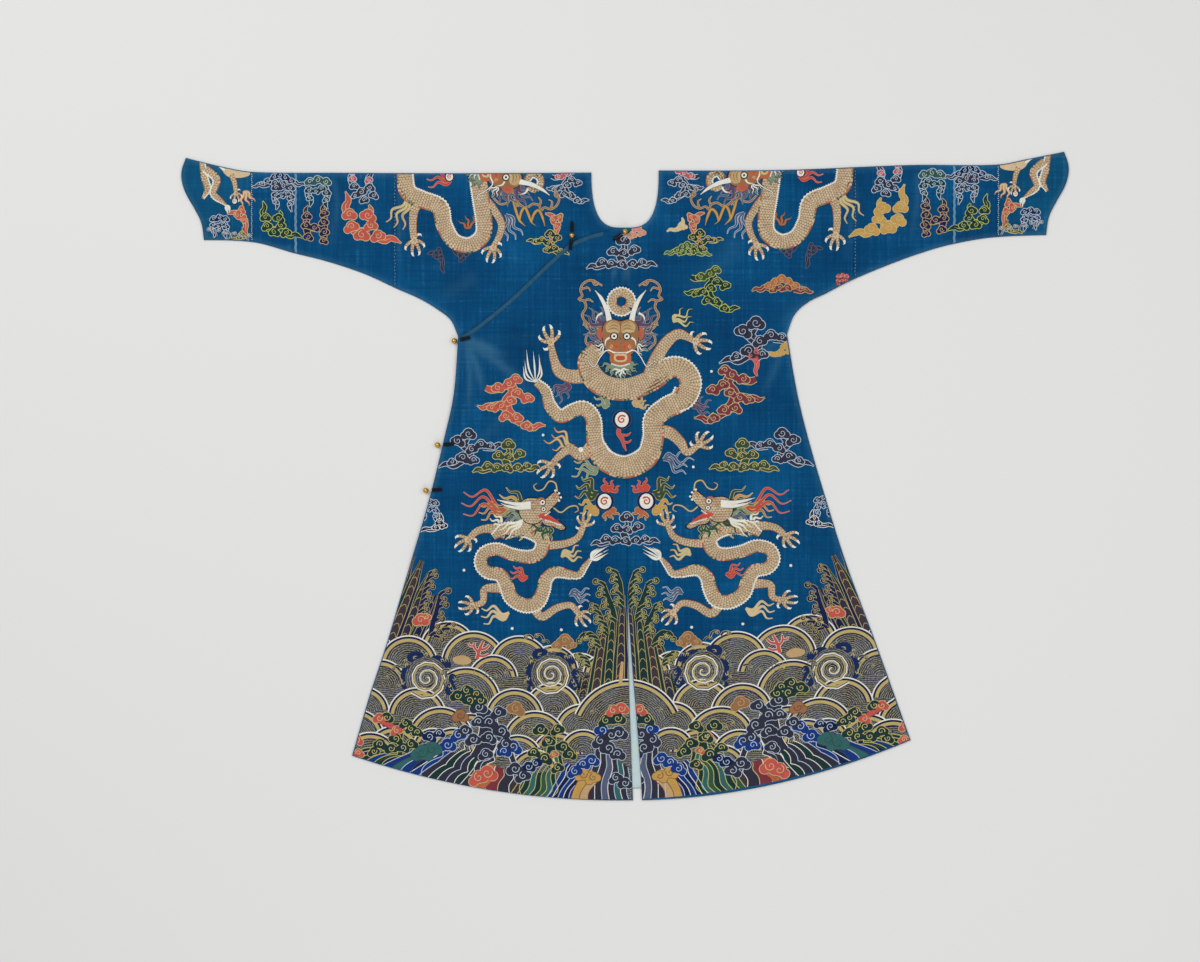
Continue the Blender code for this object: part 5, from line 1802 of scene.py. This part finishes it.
def chest_dragon(group):
    """The facing dragon: its body coils about a pearl, and a ring of it stands behind the horns."""
    pen = Pen(group, level=11)
    for x, y, heading, length, dyes in (
            (-128, 206, -120, 44, ("plum", "grey")), (84, 36, -10, 60, ("slate", "ice")),
            (106, 338, 24, 46, ("cream", "moss")), (-112, 66, 160, 60, ("cream", "rust")),
            (-34, 156, 140, 34, ("sage", "cream")), (22, 152, 40, 30, ("tan", "cream")),
            (148, 150, 10, 40, ("plum", "grey")),
            (-60, 20, 190, 54, ("sage", "cream"))):
        tuft(pen, x, y, heading, length, 4, 30, dyes, level=0, wave=0.14)
    for path, half in ((((-12, 110), (-14, 94), (-6, 80), (-2, 66), (3, 55)), (3.5, 6.5, 5.5, 4, 0.6)),
                       (((-6, 90), (5, 90), (13, 96)), (3.2, 2.6, 0.4)),
                       (((-4, 75), (7, 74), (14, 80)), (3, 2.4, 0.4))):
        streamer(pen, path, "coral", "pink", half, level=3)
    limb(pen, ((-74, 226), (-108, 218), (-142, 228), (-156, 256), (-162, 290)), (18, 15, 13, 9, 5.5), 1.1, 1,
         96)
    limb(pen, ((56, 218), (66, 252), (90, 292), (118, 312), (150, 298)), (17, 14, 13, 11, 6), 1.1, 4, -24)
    limb(pen, ((66, 96), (96, 96), (122, 74), (136, 52), (160, 66)), (16, 13, 11, 8, 5.5), 1.05, 1, 36)
    limb(pen, ((-70, 64), (-96, 46), (-122, 58), (-146, 42), (-160, 28)), (16, 13, 11, 8, 5.5), 1.05, 1, 215)
    body(pen, ((-45, 35), (-66, 75), (-70, 125), (-90, 148), (-115, 143), (-142, 131), (-165, 155),
               (-175, 187),
               (-195, 206)), (22, 18, 17, 16, 15, 14, 13, 11, 8), -1, level=1)
    body(pen, ((132, 186), (120, 164), (92, 150), (64, 125), (62, 81), (47, 41), (0, 19), (-45, 35),
               (-62, 62)),
         (23, 23, 22, 22, 23, 24, 24, 23, 20), -1, level=2)
    body(pen, ((62, 212), (98, 238), (128, 234), (144, 205), (132, 172), (112, 160)),
         (23, 22, 22, 23, 23, 20), 1,
         level=3)
    body(pen, ((-62, 282), (-82, 250), (-66, 212), (-32, 193), (14, 192), (62, 212), (92, 232)),
         (16, 22, 24, 24, 24, 23, 20), 0, level=4, belly=-1)
    ring = [(-8 + 21 * math.cos(a), 383 + 21 * math.sin(a)) for a in np.linspace(-0.6, 5.6, 9)]
    body(pen, ring, 9.5, -1, level=5)
    plume(pen, -197, 206, 104, 74, 6, 112, level=4)
    face_on_head(pen.at(-10, 292))
    pearl(pen, -7, 124, 15, level=6)
    disc(pen, 3, -97, 58, 5.5, "white", count=12)
    for x, y in ((-180, 90), (150, 20), (190, 230)):
        disc(pen, 1, x, y, 3.0, "white", count=10)


CloudAt = namedtuple("CloudAt", "where design x y size fill rim second turn flip", defaults=(None, 0, False))
CLOUD_PLACES = (
    CloudAt("both", "zigzag", -130, 636, 0.66, "charcoal", "ice", second="coral"),
    CloudAt("both", "sprig", -150, 560, 0.9, "coral", "cream", turn=60),
    CloudAt("both", "crown", -166, 514, 0.58, "forest", "yellow"),
    CloudAt("middle", "pine", -8, 484, 0.90, "charcoal", "ice"),
    CloudAt("middle", "sprig", 26, 536, 0.9, "pink", "cream"),
    CloudAt("middle", "drift", 138, 498, 0.62, "green", "lime", flip=True),
    CloudAt("middle", "sprig", 124, 548, 0.6, "gold", "cream"),
    CloudAt("middle", "zigzag", 186, 408, 0.86, "forest", "lime", second="moss"),
    CloudAt("middle", "drift", 346, 420, 0.80, "maroon", "straw", second="rust", flip=True),
    CloudAt("middle", "fall", 478, 436, 0.42, "pink", "maroon"),
    CloudAt("middle", "crown", 290, 300, 1.10, "charcoal", "ice", flip=True),
    CloudAt("middle", "sprig", 352, 278, 0.9, "ochre", "straw"),
    CloudAt("middle", "sprig", 284, 264, 0.8, "coral", "pink", turn=80),
    CloudAt("middle", "zigzag", 236, 176, 1.08, "maroon", "cream", flip=True),
    CloudAt("middle", "zigzag", -256, 158, 1.05, "coral", "cream"),
    CloudAt("both", "crown", -342, 62, 0.92, "charcoal", "ice", flip=True),
    CloudAt("both", "pine", -260, 36, 0.88, "moss", "yellow"),
    CloudAt("both", "fall", -430, -64, 0.6, "navy", "ice", second="charcoal"),
    CloudAt("both", "sprig", -408, -108, 0.8, "navy", "white"),
    CloudAt("middle", "pine", 0, -124, 0.88, "charcoal", "ice"),
    CloudAt("both", "drift", -760, 650, 0.70, "charcoal", "ice", second="navy"),
    CloudAt("both", "fall", -752, 628, 0.75, "charcoal", "ice"),
    CloudAt("both", "fall", -676, 640, 0.85, "forest", "ice", second="green"),
    CloudAt("both", "rise", -575, 632, 0.85, "charcoal", "ice", second="coral"),
    CloudAt("both", "fork", -766, 552, 0.80, "forest", "lime"),
    CloudAt("both", "square", -680, 552, 0.74, "navy", "tan"),
    CloudAt("right", "fork", -572, 552, 1.12, "coral", "cream"),
    CloudAt("left", "fork", -572, 552, 1.12, "ochre", "cream"),
    CloudAt("both", "sprig", -410, 486, 0.75, "charcoal", "slate", turn=90),
    CloudAt("both", "sprig", -356, 486, 0.75, "charcoal", "slate", turn=60, flip=True),
    CloudAt("both", "sprig", -844, 574, 0.9, "coral", "cream", turn=90),
    CloudAt("both", "fall", -892, 560, 0.62, "navy", "ice"),
    CloudAt("both", "sprig", -842, 528, 0.6, "moss", "yellow"),
)


def draw_clouds(group, half):
    """The clouds of one half, or those that only one side has where half is None."""
    for spot in CLOUD_PLACES:
        if half in {"both": ("right", "left"), "middle": (None,)}.get(spot.where, (spot.where,)):
            pen = Pen(group, half).at(spot.x, spot.y, spot.size, spot.turn, spot.flip)
            cloud(pen, spot.design, spot.fill, spot.rim, spot.second)


def cuff_dragon(group, half):
    """A small dragon on the cuff, with a plume, a flame and foam along the mouth's foot."""
    pen = Pen(group, half, level=11)
    body(pen, ((-930, 690), (-924, 655), (-918, 631), (-928, 610)), (6, 7, 7, 3), 1, level=1)
    body(pen, ((-922, 676), (-898, 652), (-905, 621), (-888, 605), (-875, 594)), (8, 8, 7, 6, 2), -1, level=2)
    plume(pen, -876, 596, -70, 24, 4, 80, level=2)
    blob(pen, 2, ((-886, 676), (-866, 684), (-838, 678), (-824, 664), (-842, 656), (-872, 658)), "gold")
    limb(pen, ((-866, 664), (-858, 644), (-856, 626)), (6, 5, 4), 0.6, 1, -90)
    outlined(pen, ((-880, 672), (-896, 684), (-908, 690)), (3, 2, 0.4), "white", "slate", 0.8, level=3)
    tuft(pen, -838, 626, -70, 34, 3, 30, ("gold", "rust"), level=1, half=2.4)
    for k in range(6):
        spray(pen.at(-912 + 17 * k, 540 - 3 * k, 0.6, 20 * (k % 3), k % 2 == 0),
              ((-10, -14), (-9, -2), (0, 6), (6, 4)), 6, 1, "slate", "white", (2.4, 2.2, 2, 1.4), level=0)
    pearl(pen, -858, 604, 5, level=1)


def seams(group, half):
    """Pale worn bands along the sleeve's seam and a broken line along the cuff's."""
    pen = Pen(group)
    s = sign(half)
    for across, wide, dash, dye in ((LOWER_SEAM, 2.6, 0, "worn"), (CUFF_SEAM, 1.0, 1, "ice"),
                                    (SLEEVE_SEAM, 0.8, 1, "worn")):
        y = np.linspace(float(under(half, across)), float(top(half, across)), 70) / MM
        for k in range(0, len(y) - 1, 1 + dash):
            x = np.array([-wide, wide]) + s * across / MM + 0.6 * math.sin(k)
            pen.lay(0, np.stack(np.meshgrid(x, y[k:k + 2]), -1), dye)


def draw_figures():
    """Every group of figures, right half then left, and then a piece for each of its kinds."""
    chest = Figures("dragon_chest")
    chest_dragon(chest)
    groups = [chest]
    for name, draw, apart in (("seams", seams, True), ("dragon_skirt", skirt_dragon, False),
                              ("dragon_shoulder", shoulder_dragon, True), ("dragon_cuff", cuff_dragon, True),
                              ("sea", sea, False), ("side_rocks", side_rocks, True),
                              ("centre_rocks", centre_rocks, False), ("clouds", draw_clouds, True)):
        for half in ("right", "left"):
            if apart or half == "right":
                groups.append(Figures(f"{name}_{half}" if apart else name))
            draw(groups[-1], half)
    groups.append(Figures("clouds_middle"))
    draw_clouds(groups[-1], None)
    for group in groups:
        group.build()


# ---- Stage ----

def stage():
    """A matt floor, three soft lamps above it and a pale world."""
    bpy.ops.mesh.primitive_plane_add(size=14, location=(0, 0, -0.0002))
    floor = bpy.context.object
    floor.name = "floor"
    p = Paint("floor_paint", 0.9)
    p.set(Base_Color=(0.80, 0.80, 0.79))
    floor.data.materials.append(p.material)
    for name, spot, turn, size, power in (
            ("key", (-2.4, 2.2, 4.2), (-26, -29, 0), 3.0, 104),
            ("fill", (2.8, 0.4, 3.8), (0, 36, 0), 3.0, 48),
            ("low", (0.2, -3.4, 3.0), (48, 0, 0), 3.0, 36)):
        lamp = bpy.data.lights.new(name, "AREA")
        lamp.size = size
        lamp.energy = power
        made = bpy.data.objects.new(name, lamp)
        made.location = spot
        made.rotation_euler = [math.radians(v) for v in turn]
        bpy.context.scene.collection.objects.link(made)
    world = bpy.data.worlds.new("studio")
    world.use_nodes = True
    world.node_tree.nodes["Background"].inputs["Color"].default_value = (1, 1, 1, 1)
    world.node_tree.nodes["Background"].inputs["Strength"].default_value = 0.42
    bpy.context.scene.world = world
    bpy.context.scene.view_settings.view_transform = "Standard"


def camera():
    """Straight above, through a long lens, framing the robe with the margins it was shown with."""
    lens, sensor = 90.0, 36.0
    seen_width = 2.640
    aim = (-0.055, -0.011)
    data = bpy.data.cameras.new("above")
    data.lens = lens
    data.sensor_width = sensor
    data.clip_end = 40
    made = bpy.data.objects.new("above", data)
    made.location = (aim[0], aim[1], seen_width * lens / sensor)
    bpy.context.scene.collection.objects.link(made)
    bpy.context.scene.camera = made


stage()
camera()
body_length("left", left_height, slit_left)
body_length("right", front_height, lambda y: centre(y) - SEAM / 2, until=INNER_FRONT_UNTIL, inset=0.004)
front_overlap()
overlap_edging()
back_lining()
sleeves()
draw_figures()
for name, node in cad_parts.items():
    if name.startswith(("button", "loop", "strap")):
        node.data.materials.clear()
        node.data.materials.append(GILT if name.startswith("button") else DARK)
